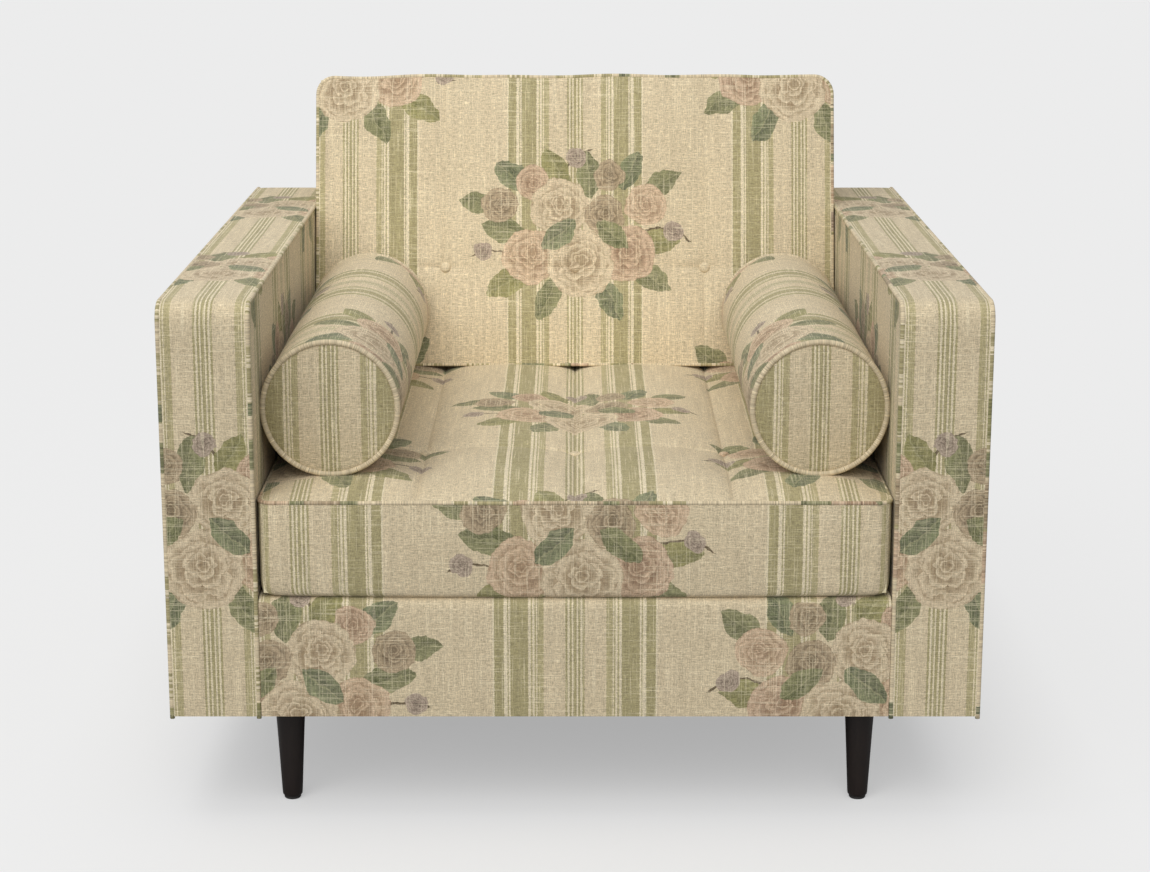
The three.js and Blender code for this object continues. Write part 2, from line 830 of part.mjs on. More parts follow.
function bolsterProfile() {
  const frontMiddle = [bolsterRadius - bolsterEdgeRadius, bolsterEdgeRadius];
  const frontTurn = quarter(frontMiddle, bolsterEdgeRadius, -Math.PI / 2, 2);
  const weltMiddle = bolsterLength - pipingRadius;
  const welt = quarter([ringRadius, weltMiddle], pipingRadius, 0, 2);
  return [
    [0, -bolsterEndDome],
    [bolsterRadius * 0.6, -bolsterEndDome * 0.6],
    ...frontTurn,
    [bolsterRadius, weltMiddle - pipingRadius],
    ...welt,
    [bolsterRadius * 0.6, bolsterLength - bolsterEndDome * 0.4],
    [0, bolsterLength],
  ];
}

function bolsterCylinder(radius, run) {
  return turned([[0, run[0]], [radius, run[0]], [radius, run[1]], [0, run[1]]], bolsterSides);
}

for (const [label, side] of sides) {
  const bolster = new THREE.Group();
  bolster.position.set(side * bolsterX, bolsterFront, bolsterZ);
  chair.add(bolster);
  const ring = (radius) => (
    new THREE.TorusGeometry(ringRadius, radius, pipingSides, bolsterSides)
      .rotateX(Math.PI / 2)
      .translate(0, pipingRadius, 0)
  );
  const hollowRun = [coverWall, bolsterLength - coverWall - bolsterEndDome];
  const hollow = bolsterCylinder(bolsterRadius - coverWall, hollowRun);
  const zipRun = [(bolsterLength - bolsterZipLength) / 2, (bolsterLength + bolsterZipLength) / 2];
  const zip = block(
    bothSides(side, bolsterRadius - coverWall - overrun, bolsterRadius + overrun),
    zipRun,
    [-zipWidth / 2, zipWidth / 2],
  );
  add(`bolster_cover_${label}`, cut(
    turned(bolsterProfile(), bolsterSides),
    hollow,
    zip,
    ring(pipingRadius + fit),
  ), linen, bolster);
  const coreRun = [hollowRun[0] + fit, hollowRun[1] - fit];
  add(`bolster_core_${label}`, bolsterCylinder(bolsterRadius - coverWall - fit, coreRun), foam, bolster);
  add(`bolster_piping_${label}`, ring(pipingRadius), pipingCloth, bolster);
}

export default chair;
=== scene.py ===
# %% [markdown]
# A low club armchair in striped and flowered linen. It has loose boxed
# cushions, two round bolsters and short turned legs.

# %% Load the solid model
import math
import bmesh
import bpy
from mathutils import Matrix, Vector, noise


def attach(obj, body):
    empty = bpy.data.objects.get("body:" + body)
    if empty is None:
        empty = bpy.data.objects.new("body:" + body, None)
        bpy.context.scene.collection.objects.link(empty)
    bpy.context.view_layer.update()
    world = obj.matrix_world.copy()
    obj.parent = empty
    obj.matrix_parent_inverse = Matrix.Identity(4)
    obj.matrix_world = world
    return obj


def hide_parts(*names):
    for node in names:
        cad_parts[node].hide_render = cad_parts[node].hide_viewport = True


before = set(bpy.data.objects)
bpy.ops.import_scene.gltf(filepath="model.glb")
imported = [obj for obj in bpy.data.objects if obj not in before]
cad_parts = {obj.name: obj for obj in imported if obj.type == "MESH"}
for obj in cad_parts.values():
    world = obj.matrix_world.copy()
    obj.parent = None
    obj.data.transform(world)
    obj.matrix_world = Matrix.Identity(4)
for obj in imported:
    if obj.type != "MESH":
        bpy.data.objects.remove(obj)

TAU = 2 * math.pi
MM = 0.001
TINY = 1e-6
SIDES = (("left", -1), ("right", 1))
scene = bpy.context.scene
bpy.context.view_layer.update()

# %% [markdown]
# The camera stands in front of the chair and looks a little down on it.
# A long lens from far away keeps the arms nearly parallel, as in the photograph.
# The lens is in millimetres on a 36 mm sensor, so it can be read like a real one.

# %% Camera
camera_place = Vector((0, -3.454, 1.197))
camera_pitch = math.radians(13.52)
camera_data = bpy.data.cameras.new("front_camera")
camera_data.sensor_fit = "HORIZONTAL"
camera_data.sensor_width = 36
camera_data.lens = 78.93
camera_data.clip_end = 200
camera = bpy.data.objects.new("front_camera", camera_data)
camera.location = camera_place
camera.rotation_euler = (math.pi / 2 - camera_pitch, 0, 0)
scene.collection.objects.link(camera)
scene.camera = camera
print("camera", camera_place, "lens", camera_data.lens)

# %% [markdown]
# The sizes below are the upholsterer's cutting list.
# They repeat the solid model's named values, so each cover lands on its own frame.
# Between two pieces that touch, the model keeps a clearance, called fit.

# %% Sizes
fit = 0.3 * MM
x_in = 387 * MM
arm_inner = 388.2 * MM
arm_outer = 498.8 * MM
between_arms = 386.7 * MM
chair_half_depth = 510.5 * MM
cover_front = -509.3 * MM
cover_rear = 509.3 * MM
cavity_rear = 496.3 * MM
arm_height = 652 * MM
arm_top = 650.8 * MM
leg_height = 133 * MM
deck_bottom = 271 * MM
deck_height = 285 * MM
back_height = 745 * MM
back_lean = math.radians(14.5)
back_top_thickness = 67 * MM
piping_radius = 3 * MM
piping_proud = 1.2 * MM
column = 193 * MM
columns = (-column, 0, column)
seat_bottom = 285.3 * MM
seat_top = 418.8 * MM


def inside_back(z):
    """Depth of the leaning inside of the back at a height."""
    return chair_half_depth - back_top_thickness - (back_height - z) * math.tan(back_lean)


print("inside of the back at the deck", round(inside_back(deck_height), 4))

# %% [markdown]
# Every cover starts as a box whose faces are ruled into a grid, like squared pattern paper.
# The lines stand closer together at the edges, where cloth turns over a seam.
# A cube is subdivided along each axis in turn, and its lines are then moved to their places.

# %% Ruled boxes
def ruled(low, high, step, edge=(3 * MM, 7 * MM, 13 * MM)):
    """Line places from low to high, about a step apart and closer at both ends."""
    inner_low = low + edge[-1]
    inner_high = high - edge[-1]
    count = max(1, round((inner_high - inner_low) / step))
    inner = [inner_low + (inner_high - inner_low) * i / count for i in range(count + 1)]
    start = [low] + [low + away for away in edge[:-1]]
    end = [high - away for away in reversed(edge[:-1])] + [high]
    return start + inner + end


def ruled_box(lines):
    """A closed box with a grid on each face, from three lists of line places."""
    bm = bmesh.new()
    bmesh.ops.create_cube(bm, size=1)
    for axis in range(3):
        along = [e for e in bm.edges if abs(e.verts[1].co[axis] - e.verts[0].co[axis]) > 0.5]
        if len(lines[axis]) > 2:
            bmesh.ops.subdivide_edges(bm, edges=along, cuts=len(lines[axis]) - 2)
    for vert in bm.verts:
        for axis in range(3):
            steps = len(lines[axis]) - 1
            vert.co[axis] = lines[axis][round((vert.co[axis] + 0.5) * steps)]
    bm.normal_update()
    return bm


# %% [markdown]
# Printed cloth is cut flat and then sewn, so its pattern follows the panel and not the room.
# Each face of the flat box is one panel, and it gets its own place in metres on the cloth.
# This is stored as a UV map before the cover is rounded, so the stripes bend with the cloth.
# An edge between two different panels is a seam, and is kept sharp.

# %% Cloth panels
LEFT, RIGHT = (0, False), (0, True)
FRONT, REAR = (1, False), (1, True)
BOTTOM, TOP = (2, False), (2, True)
corner_reach = 100 * MM


def facing(normal):
    """The axis and side that a flat face looks to."""
    axis = max(range(3), key=lambda i: abs(normal[i]))
    return (axis, normal[axis] > 0)


def lay_cloth(bm, panels):
    """Gives each face its place on the cloth. panels gives each side a name and a place."""
    cloth = bm.loops.layers.uv.new("cloth")
    crease = bm.edges.layers.float.new("crease_edge")
    for face in bm.faces:
        face.smooth = True
        lay = panels[facing(face.normal)][1]
        for loop in face.loops:
            loop[cloth].uv = lay(loop.vert.co)
    for edge in bm.edges:
        names = {panels[facing(face.normal)][0] for face in edge.link_faces}
        if len(names) > 1:
            edge.smooth = False
            edge[crease] = 1


def round_off(u, v, half_u, half_v, radius):
    """Moves a point of a rectangle's corner square onto a quarter circle."""
    du = abs(u) - (half_u - radius)
    dv = abs(v) - (half_v - radius)
    if du <= 0 or dv <= 0:
        return u, v
    scale = max(du, dv) / math.hypot(du, dv)
    new_u = math.copysign(half_u - radius + du * scale, u)
    new_v = math.copysign(half_v - radius + dv * scale, v)
    return new_u, new_v


def round_top(across, z, top, half, radius):
    """Rounds the top corners of a board: the place across it and the height of one point."""
    across, high = round_off(across, z - top + corner_reach, half, corner_reach, radius)
    return across, high + top - corner_reach


# %% [markdown]
# A finished piece is put in the scene at the origin, with its place in its mesh.
# It rides on the chair, takes its finish, and stands for the solid that it replaces.


def finish_piece(bm, name, material, nodes, levels=0):
    """Turns a bmesh into a finished piece of the chair."""
    mesh = bpy.data.meshes.new(name)
    bm.normal_update()
    bm.to_mesh(mesh)
    bm.free()
    mesh.materials.append(material)
    piece = bpy.data.objects.new(name, mesh)
    scene.collection.objects.link(piece)
    if levels:
        smooth = piece.modifiers.new("smooth", "SUBSURF")
        smooth.levels = levels
        smooth.render_levels = levels
        smooth.uv_smooth = "PRESERVE_BOUNDARIES"
    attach(piece, "root")
    if nodes:
        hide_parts(*nodes)
    return piece


# %% [markdown]
# A node tree could be wired by hand in the editor. Here small helpers do it.
# Each adds one node and fills its sockets, with a plain value or with another node's output.
# The helpers for sums, mixes, noise and colour ramps keep the recipes below short.

# %% Node helpers
VECTOR, COLOUR, VALUE = "NodeSocketVector", "NodeSocketColor", "NodeSocketFloat"


def fill_sockets(tree, node, values):
    """Fills a node's sockets, each with a plain value or with a link."""
    for key, value in values.items():
        if isinstance(value, bpy.types.NodeSocket):
            tree.links.new(value, node.inputs[key])
        else:
            node.inputs[key].default_value = value


def add_node(tree, kind, values, **settings):
    """A new node, with its settings and its sockets filled in."""
    node = tree.nodes.new(kind)
    for name, value in settings.items():
        setattr(node, name, value)
    fill_sockets(tree, node, values)
    return node


def calc(tree, operation, *values, clamp=False):
    """The output of one Math node."""
    sockets = dict(enumerate(values))
    node = add_node(tree, "ShaderNodeMath", sockets, operation=operation, use_clamp=clamp)
    return node.outputs[0]


def vector_calc(tree, operation, *values):
    """The vector output of one Vector Math node, or its value where it gives one."""
    node = add_node(tree, "ShaderNodeVectorMath", dict(enumerate(values)), operation=operation)
    return node.outputs["Value" if operation in ("LENGTH", "DISTANCE", "DOT_PRODUCT") else "Vector"]


def mixed(tree, share, first, second, kind="RGBA"):
    """The output of one Mix node, for colours, vectors or plain values."""
    first_at, second_at, result_at = {"RGBA": (6, 7, 2), "VECTOR": (4, 5, 1), "FLOAT": (2, 3, 0)}[kind]
    values = {0: share, first_at: first, second_at: second}
    return add_node(tree, "ShaderNodeMix", values, data_type=kind).outputs[result_at]


def speckle(tree, place, scale, detail=2, roughness=0.5, kind="2D"):
    """The value of one Noise Texture node."""
    values = {"Vector": place, "Scale": scale, "Detail": detail, "Roughness": roughness}
    node = add_node(tree, "ShaderNodeTexNoise", values, noise_dimensions=kind)
    return node.outputs[0]


def stretched(tree, place, stretch):
    """Fine noise with so many specks a metre along each axis."""
    return speckle(tree, vector_calc(tree, "MULTIPLY", place, stretch), 1, 1)


def scatter(tree, place, scale, detail):
    """A Noise Texture node, and its colour as a small push to either side."""
    values = {"Vector": place, "Scale": scale, "Detail": detail}
    node = add_node(tree, "ShaderNodeTexNoise", values, noise_dimensions="2D")
    return node, vector_calc(tree, "SUBTRACT", node.outputs["Color"], (0.5, 0.5, 0.5))


def ramp(tree, value, stops, interpolation="LINEAR"):
    """The colour of one Color Ramp node. Its stops are (place, colour)."""
    node = add_node(tree, "ShaderNodeValToRGB", {"Fac": value})
    node.color_ramp.interpolation = interpolation
    points = node.color_ramp.elements
    while len(points) < len(stops):
        points.new(0.5)
    for point, (place, colour) in zip(points, stops):
        point.position = place
        point.color = colour
    return node.outputs["Color"]


def paint(red, green, blue):
    """A colour written as on a paint card, from 0 to 255, for Blender's linear light."""
    def linear(value):
        share = value / 255
        return share / 12.92 if share <= 0.04045 else ((share + 0.055) / 1.055) ** 2.4
    return (linear(red), linear(green), linear(blue), 1)


def grey(value):
    """A grey that reflects or gives off this share of light."""
    return (value, value, value, 1)


def new_group(name, inputs, outputs):
    """A shader node group with named sockets, and its two ends."""
    tree = bpy.data.node_groups.new(name, "ShaderNodeTree")
    for socket, kind in inputs:
        tree.interface.new_socket(socket, in_out="INPUT", socket_type=kind)
    for socket, kind in outputs:
        tree.interface.new_socket(socket, in_out="OUTPUT", socket_type=kind)
    return tree, tree.nodes.new("NodeGroupInput"), tree.nodes.new("NodeGroupOutput")


def use_group(tree, group, values):
    """Places a group in another tree."""
    return add_node(tree, "ShaderNodeGroup", values, node_tree=group)


def new_material(name):
    """A new material, with its node tree and its shader."""
    material = bpy.data.materials.new(name)
    material.use_nodes = True
    tree = material.node_tree
    return material, tree, tree.nodes["Principled BSDF"]


def bumped(tree, height, strength, depth):
    """The output of one Bump node. Depth is how deep full strength would be."""
    values = {"Height": height, "Strength": strength, "Distance": depth}
    return add_node(tree, "ShaderNodeBump", values).outputs[0]


def object_place(tree):
    """Where a point lies on the chair, in metres."""
    return add_node(tree, "ShaderNodeTexCoord", {}).outputs["Object"]


print("node helpers ready, sockets", VECTOR, COLOUR, VALUE)

# %% [markdown]
# Linen thread is uneven: it has thick slubs, and no two threads are the same tone.
# A picture of the weave could be laid on the cloth, but noise never repeats and needs no file.
# One group stretches noise along the warp and the weft, and adds an even grain.
# It puts out a shade to multiply the dye by, the pale slubs, and a height for the bump.

# %% Linen weave group
weave, weave_in, weave_out = new_group(
    "linen weave",
    [("Cloth", VECTOR)],
    [("Shade", VALUE), ("Slub", VALUE), ("Height", VALUE)],
)
cloth_place = weave_in.outputs["Cloth"]
warp = stretched(weave, cloth_place, (900, 140, 1))
weft = stretched(weave, cloth_place, (120, 950, 1))
grain = stretched(weave, cloth_place, (640, 640, 1))
warp_share, weft_share, grain_share = 0.6, 0.8, 0.6
threads = calc(weave, "MULTIPLY_ADD", warp, warp_share, calc(weave, "MULTIPLY", weft, weft_share))
threads = calc(weave, "MULTIPLY_ADD", grain, grain_share, threads)

# Slubs are the peaks of a much longer noise
slub_from = 0.6
slub_edge = 8
slub = 0
for stretch in ((700, 13, 1), (15, 700, 1)):
    peak = calc(weave, "SUBTRACT", stretched(weave, cloth_place, stretch), slub_from)
    slub = calc(weave, "MAXIMUM", slub, calc(weave, "MULTIPLY", peak, slub_edge, clamp=True))

# Warp threads from different bobbins make faint bands
bands = stretched(weave, cloth_place, (120, 9, 1))
band_depth = 0.2
thread_depth, thread_base = 0.95, 0.05
slub_glow, slub_height = 0.09, 0.3
shade = calc(weave, "MULTIPLY_ADD", threads, thread_depth, thread_base - band_depth / 2)
shade = calc(weave, "MULTIPLY_ADD", bands, band_depth, shade)
shade = calc(weave, "MULTIPLY_ADD", slub, slub_glow, shade)
height = calc(weave, "MULTIPLY_ADD", slub, slub_height, threads)
fill_sockets(weave, weave_out, {"Shade": shade, "Slub": slub, "Height": height})
print("linen weave group", len(weave.nodes), "nodes")

# %% [markdown]
# The stripes repeat every 334 mm: a thin group in the middle and a broad one on each side.
# The pattern is the same left and right, so it is folded at the middle of the thin group.
# A colour ramp without blending then holds the whole group of stripes.

# %% Stripe group
stripe_repeat = 334 * MM
ground = paint(208, 192, 161)
sage = paint(167, 157, 118)
pale_sage = paint(177, 166, 127)
cream = paint(220, 207, 177)

# Where each stripe starts, in mm from the fold, and its colour
stripe_edges = [
    (0, sage),
    (1.35, cream),
    (3.75, sage),
    (6.45, cream),
    (8.85, sage),
    (11.55, ground),
    (38, pale_sage),
    (46, cream),
    (47.5, pale_sage),
    (49, cream),
    (52, pale_sage),
    (53.5, cream),
    (57, sage),
    (79, cream),
    (81, sage),
    (82.5, cream),
    (87, sage),
    (99, cream),
    (101, ground),
]
stripes, stripes_in, stripes_out = new_group(
    "sage stripes",
    [("Cloth", VECTOR)],
    [("Color", COLOUR)],
)
cloth_place = stripes_in.outputs["Cloth"]
bleed_width = 1.6 * MM
bleed = calc(stripes, "SUBTRACT", stretched(stripes, cloth_place, (500, 500, 1)), 0.5)
across = add_node(stripes, "ShaderNodeSeparateXYZ", {0: cloth_place}).outputs[0]
across = calc(stripes, "MULTIPLY_ADD", bleed, bleed_width, across)
turns = calc(stripes, "FRACT", calc(stripes, "MULTIPLY_ADD", across, 1 / stripe_repeat, 0.5))
folded = calc(stripes, "ABSOLUTE", calc(stripes, "SUBTRACT", turns, 0.5))
folded = calc(stripes, "MULTIPLY", folded, 2)
half_repeat = stripe_repeat / 2 / MM
stops = [(edge / half_repeat, colour) for edge, colour in stripe_edges]
fill_sockets(stripes, stripes_out, {"Color": ramp(stripes, folded, stops, "CONSTANT")})
print("stripes", len(stripe_edges), "edges in", half_repeat, "mm")

# %% [markdown]
# The flowers are a loose spray of garden roses with leaves and buds.
# The spray is drawn once, and the cloth is folded so that it repeats in rows set like bricks.
# Roses are laid one over the other, the top one last, and each keeps its own middle and size.
# The petals are then worked out once, for whichever rose shows at that point.

# %% Flower spray group
spray_row = 262 * MM
spray_repeat = 2 * stripe_repeat

# Each rose: how far right and up it lies and its radius, in mm, and its tone
roses = [
    (-112, 40, 27, 3),
    (106, 40, 31, 0),
    (-62, 74, 25, 2),
    (50, 84, 22, 3),
    (-66, -34, 41, 0),
    (78, -32, 42, 2),
    (-22, 38, 43, 1),
    (44, 26, 30, 3),
    (8, -46, 50, 1),
    (-138, -28, 14, 4),
    (146, 2, 15, 4),
    (2, 112, 14, 4),
]

# Each leaf: how far right and up, half its length, its turn in degrees and its tone
leaves = [
    (-104, 4, 36, 168, 0),
    (-100, -74, 38, 212, 1),
    (-40, -96, 36, 246, 0),
    (52, -98, 36, -62, 2),
    (112, -66, 36, -30, 0),
    (124, -14, 34, 4, 1),
    (128, 72, 34, 34, 0),
    (82, 92, 34, 66, 2),
    (20, 88, 36, 96, 0),
    (-28, 94, 36, 118, 1),
    (-92, 84, 36, 142, 2),
    (-142, 44, 30, 172, 0),
    (-24, -4, 34, 222, 2),
    (56, -2, 32, -38, 0),
]
leaves_on_top = 2

# Each stem, a part of a circle: its middle right and up, its radius, and where it starts and ends
stems = [
    (-120, -92, 66, 60, 120),
    (128, -62, 66, 50, 110),
    (34, 76, 50, 100, 170),
]
spray, spray_in, spray_out = new_group(
    "rose spray",
    [("Cloth", VECTOR)],
    [("Color", COLOUR), ("Mask", VALUE)],
)
cloth_place = spray_in.outputs["Cloth"]
split = add_node(spray, "ShaderNodeSeparateXYZ", {0: cloth_place})
rows = calc(spray, "MULTIPLY_ADD", split.outputs[1], 1 / spray_row, 0.5)
row = calc(spray, "FLOOR", rows)
odd = calc(spray, "FLOORED_MODULO", row, 2)
cell_y = calc(spray, "SUBTRACT", calc(spray, "FRACT", rows), 0.5)
cell_y = calc(spray, "MULTIPLY", cell_y, spray_row)
cell_x = calc(spray, "MULTIPLY_ADD", split.outputs[0], 1 / spray_repeat, 0.5)
cell_x = calc(spray, "FRACT", calc(spray, "MULTIPLY_ADD", odd, 0.5, cell_x))
cell_x = calc(spray, "MULTIPLY", calc(spray, "SUBTRACT", cell_x, 0.5), spray_repeat)
cell_x = calc(spray, "MULTIPLY", cell_x, calc(spray, "MULTIPLY_ADD", odd, -2, 1))
cell = add_node(spray, "ShaderNodeCombineXYZ", {0: cell_x, 1: cell_y}).outputs[0]

# The outlines are drawn by hand, so they wobble a little
wobble_width = 13 * MM
fine_width = 2.4 * MM
wobble = scatter(spray, cloth_place, 34, 2)[1]
fine_node, fine = scatter(spray, cloth_place, 170, 1)
point = vector_calc(spray, "MULTIPLY_ADD", wobble, (wobble_width, wobble_width, 0), cell)
point = vector_calc(spray, "MULTIPLY_ADD", fine, (fine_width, fine_width, 0), point)

# Leaves, each a lens between two arcs
leaf_bow = 0.75
leaf_reach = math.hypot(1, leaf_bow)
nowhere = 5
leaf_place = (0, nowhere, 0)
leaf_shown = 0
leaf_above = 0
for number, (x, y, half_length, turn, tone) in enumerate(leaves):
    angle = math.radians(turn)
    size = half_length * MM
    placing = {
        "Vector": point,
        "Location": (x * MM, y * MM, -tone * size),
        "Rotation": (0, 0, angle),
        "Scale": (size, size, size),
    }
    local = add_node(spray, "ShaderNodeMapping", placing, vector_type="TEXTURE").outputs[0]
    folded_leaf = vector_calc(spray, "MULTIPLY", vector_calc(spray, "ABSOLUTE", local), (1, 1, 0))
    reach = vector_calc(spray, "DISTANCE", folded_leaf, (0, -leaf_bow, 0))
    inside = calc(spray, "LESS_THAN", reach, leaf_reach)
    leaf_place = mixed(spray, inside, leaf_place, local, "VECTOR")
    leaf_shown = calc(spray, "MAXIMUM", leaf_shown, inside)
    if number >= len(leaves) - leaves_on_top:
        leaf_above = calc(spray, "MAXIMUM", leaf_above, inside)
leaf_split = add_node(spray, "ShaderNodeSeparateXYZ", {0: leaf_place})
along_leaf, across_leaf, leaf_tone = leaf_split.outputs
side_of_leaf = calc(spray, "ABSOLUTE", across_leaf)
vein_count, vein_slant = 6, -9
vein_width, vein_edge, vein_strength = 0.13, 7, 0.38
midrib_width = 0.03
vein_turn = calc(spray, "MULTIPLY", along_leaf, vein_count)
vein_turn = calc(spray, "MULTIPLY_ADD", side_of_leaf, vein_slant, vein_turn)
vein = calc(spray, "ABSOLUTE", calc(spray, "SUBTRACT", calc(spray, "FRACT", vein_turn), 0.5))
vein = calc(spray, "MULTIPLY", calc(spray, "SUBTRACT", vein_width, vein), vein_edge, clamp=True)
vein = calc(spray, "MAXIMUM", vein, calc(spray, "LESS_THAN", side_of_leaf, midrib_width))
dim_half, lit_half, edge_light = 0.18, 0.46, 0.7
on_lit_half = calc(spray, "GREATER_THAN", across_leaf, 0)
leaf_light = calc(spray, "MULTIPLY_ADD", on_lit_half, lit_half - dim_half, dim_half)
leaf_light = calc(spray, "ADD", leaf_light, calc(spray, "SUBTRACT", fine_node.outputs[0], 0.5))
leaf_light = calc(spray, "MULTIPLY_ADD", side_of_leaf, edge_light, leaf_light)
leaf_tone = calc(spray, "MULTIPLY", leaf_tone, 0.5)
leaf_dark = ramp(spray, leaf_tone, [
    (0, paint(82, 88, 60)),
    (0.5, paint(106, 106, 66)),
    (1, paint(78, 86, 68)),
])
leaf_pale = ramp(spray, leaf_tone, [
    (0, paint(144, 144, 104)),
    (0.5, paint(162, 156, 104)),
    (1, paint(136, 142, 106)),
])
leaf_colour = mixed(spray, leaf_light, leaf_dark, leaf_pale)
vein_colour = paint(176, 172, 132)
vein = calc(spray, "MULTIPLY", vein, vein_strength)
leaf_colour = mixed(spray, vein, leaf_colour, vein_colour)

# Thin curved stems under the flowers
stem_shown = 0
stem_half_width = 1.5 * MM
for x, y, radius, low, high in stems:
    local = vector_calc(spray, "SUBTRACT", point, (x * MM, y * MM, 0))
    away = calc(spray, "SUBTRACT", vector_calc(spray, "LENGTH", local), radius * MM)
    thin = calc(spray, "LESS_THAN", calc(spray, "ABSOLUTE", away), stem_half_width)
    middle = math.radians((low + high) / 2)
    opening = math.radians((high - low) / 2)
    heading = (math.cos(middle), math.sin(middle), 0)
    ahead = vector_calc(spray, "DOT_PRODUCT", local, heading)
    within = calc(spray, "GREATER_THAN", ahead, radius * MM * math.cos(opening))
    stem_shown = calc(spray, "MAXIMUM", stem_shown, calc(spray, "MULTIPLY", thin, within))

# Roses, painted one over the other
rose_place = (nowhere, nowhere, 0)
rose_shown = 0
for x, y, radius, tone in roses:
    grow = 1 / (radius * MM)
    centred = (-x / radius, -y / radius, 0)
    local = vector_calc(spray, "MULTIPLY_ADD", point, (grow, grow, 0), centred)
    inside = calc(spray, "LESS_THAN", vector_calc(spray, "LENGTH", local), 1)
    tagged = vector_calc(spray, "ADD", local, (0, 0, tone / 4))
    rose_place = mixed(spray, inside, rose_place, tagged, "VECTOR")
    rose_shown = calc(spray, "MAXIMUM", rose_shown, inside)
rose_split = add_node(spray, "ShaderNodeSeparateXYZ", {0: rose_place})
rose_tone = rose_split.outputs[2]
flat_rose = vector_calc(spray, "MULTIPLY", rose_place, (1, 1, 0))
petal_light = vector_calc(spray, "LENGTH", flat_rose)
tone_turn = calc(spray, "MULTIPLY", rose_tone, 3.7)

# Each ring of petals: its reach, how deep its lobes are, half their number, where they start,
# and how far the ring's heart lies off the middle
petal_rings = [
    (1.02, 0.12, 3.0, 0.4, (0, 0, 0)),
    (0.78, 0.12, 2.5, 2.1, (0.05, -0.04, 0)),
    (0.56, 0.10, 2.5, 0.9, (-0.04, 0.06, 0)),
    (0.37, 0.08, 2.0, 3.0, (0.03, 0.10, 0)),
    (0.20, 0.05, 1.5, 1.3, (0.0, 0.10, 0)),
]
for reach, lobe, half_petals, start, heart in petal_rings:
    local = vector_calc(spray, "SUBTRACT", flat_rose, heart)
    local_split = add_node(spray, "ShaderNodeSeparateXYZ", {0: local})
    turn = calc(spray, "ARCTAN2", local_split.outputs[1], local_split.outputs[0])
    turn = calc(spray, "MULTIPLY_ADD", turn, half_petals, calc(spray, "ADD", tone_turn, start))
    wave = calc(spray, "ABSOLUTE", calc(spray, "COSINE", turn))
    edge = calc(spray, "MULTIPLY_ADD", wave, lobe * 1.6, reach - lobe * 1.3)
    share = calc(spray, "DIVIDE", vector_calc(spray, "LENGTH", local), edge)
    ring_inside = calc(spray, "LESS_THAN", share, 1)
    lit = calc(spray, "MULTIPLY_ADD", calc(spray, "SUBTRACT", wave, 0.75), 0.16, share)
    petal_light = mixed(spray, ring_inside, petal_light, lit, "FLOAT")
streak = speckle(spray, rose_place, 5, 3, 0.6)
petal_tone = calc(spray, "MULTIPLY_ADD", calc(spray, "SUBTRACT", streak, 0.5), 0.34, petal_light)
petal_value = ramp(spray, petal_tone, [
    (0, grey(0.30)),
    (0.55, grey(0.12)),
    (0.72, grey(0.42)),
    (0.90, grey(1)),
    (0.97, grey(0.78)),
    (1, grey(0.34)),
])
rose_deep = ramp(spray, rose_tone, [
    (0, paint(149, 121, 96)),
    (0.25, paint(146, 124, 96)),
    (0.5, paint(140, 111, 89)),
    (0.75, paint(108, 92, 72)),
    (1, paint(108, 94, 84)),
])
rose_bright = ramp(spray, rose_tone, [
    (0, paint(208, 182, 153)),
    (0.25, paint(212, 194, 164)),
    (0.5, paint(203, 176, 149)),
    (0.75, paint(178, 158, 130)),
    (1, paint(180, 162, 146)),
])
rose_colour = mixed(spray, petal_value, rose_deep, rose_bright)

# Leaves lie over the stems, roses over the leaves, and the last leaves over the roses
stem_colour = paint(96, 82, 62)
spray_colour = mixed(spray, leaf_shown, stem_colour, leaf_colour)
rose_above = calc(spray, "MULTIPLY", rose_shown, calc(spray, "SUBTRACT", 1, leaf_above))
spray_colour = mixed(spray, rose_above, spray_colour, rose_colour)
spray_mask = calc(spray, "MAXIMUM", calc(spray, "MAXIMUM", stem_shown, leaf_shown), rose_shown)
fill_sockets(spray, spray_out, {"Color": spray_colour, "Mask": spray_mask})
print("rose spray group", len(spray.nodes), "nodes")

# %% [markdown]
# The printed linen joins the three groups.
# The dye lies in the thread, so the flowers are a little thin over the stripes.
# Pale slubs show through everything. The bump comes from the weave alone, because ink is flat.

# %% Printed linen
undyed = paint(230, 218, 188)
ink_cover = 0.9
slub_cover = 0.38
thread_relief = 0.6 * MM
rough_low, rough_span = 0.78, 0.12


def linen_material(name, printed=True, striped=True, tone=1.0, strength=0.3):
    """Linen with or without stripes and flowers, which reads the piece's own cloth map."""
    material, tree, shader = new_material(name)
    cloth = add_node(tree, "ShaderNodeUVMap", {}, uv_map="cloth").outputs[0]
    threads = use_group(tree, weave, {"Cloth": cloth})
    colour = use_group(tree, stripes, {"Cloth": cloth}).outputs["Color"] if striped else ground
    if printed:
        flowers = use_group(tree, spray, {"Cloth": cloth})
        ink = calc(tree, "MULTIPLY", flowers.outputs["Mask"], ink_cover)
        colour = mixed(tree, ink, colour, flowers.outputs["Color"])
    slubs = calc(tree, "MULTIPLY", threads.outputs["Slub"], slub_cover)
    colour = mixed(tree, slubs, colour, undyed)
    # A tone below 1 makes a darker copy of the same linen: painted shade.
    shade = calc(tree, "MULTIPLY", threads.outputs["Shade"], tone)
    tint = add_node(tree, "ShaderNodeVectorMath", {0: colour, "Scale": shade}, operation="SCALE")
    height = threads.outputs["Height"]
    fill_sockets(tree, shader, {
        "Base Color": tint.outputs[0],
        "Roughness": calc(tree, "MULTIPLY_ADD", height, rough_span, rough_low),
        "Normal": bumped(tree, height, strength, thread_relief),
        "Specular IOR Level": 0.18,
        "Sheen Weight": 0.1,
        "Sheen Roughness": 0.5,
    })
    return material


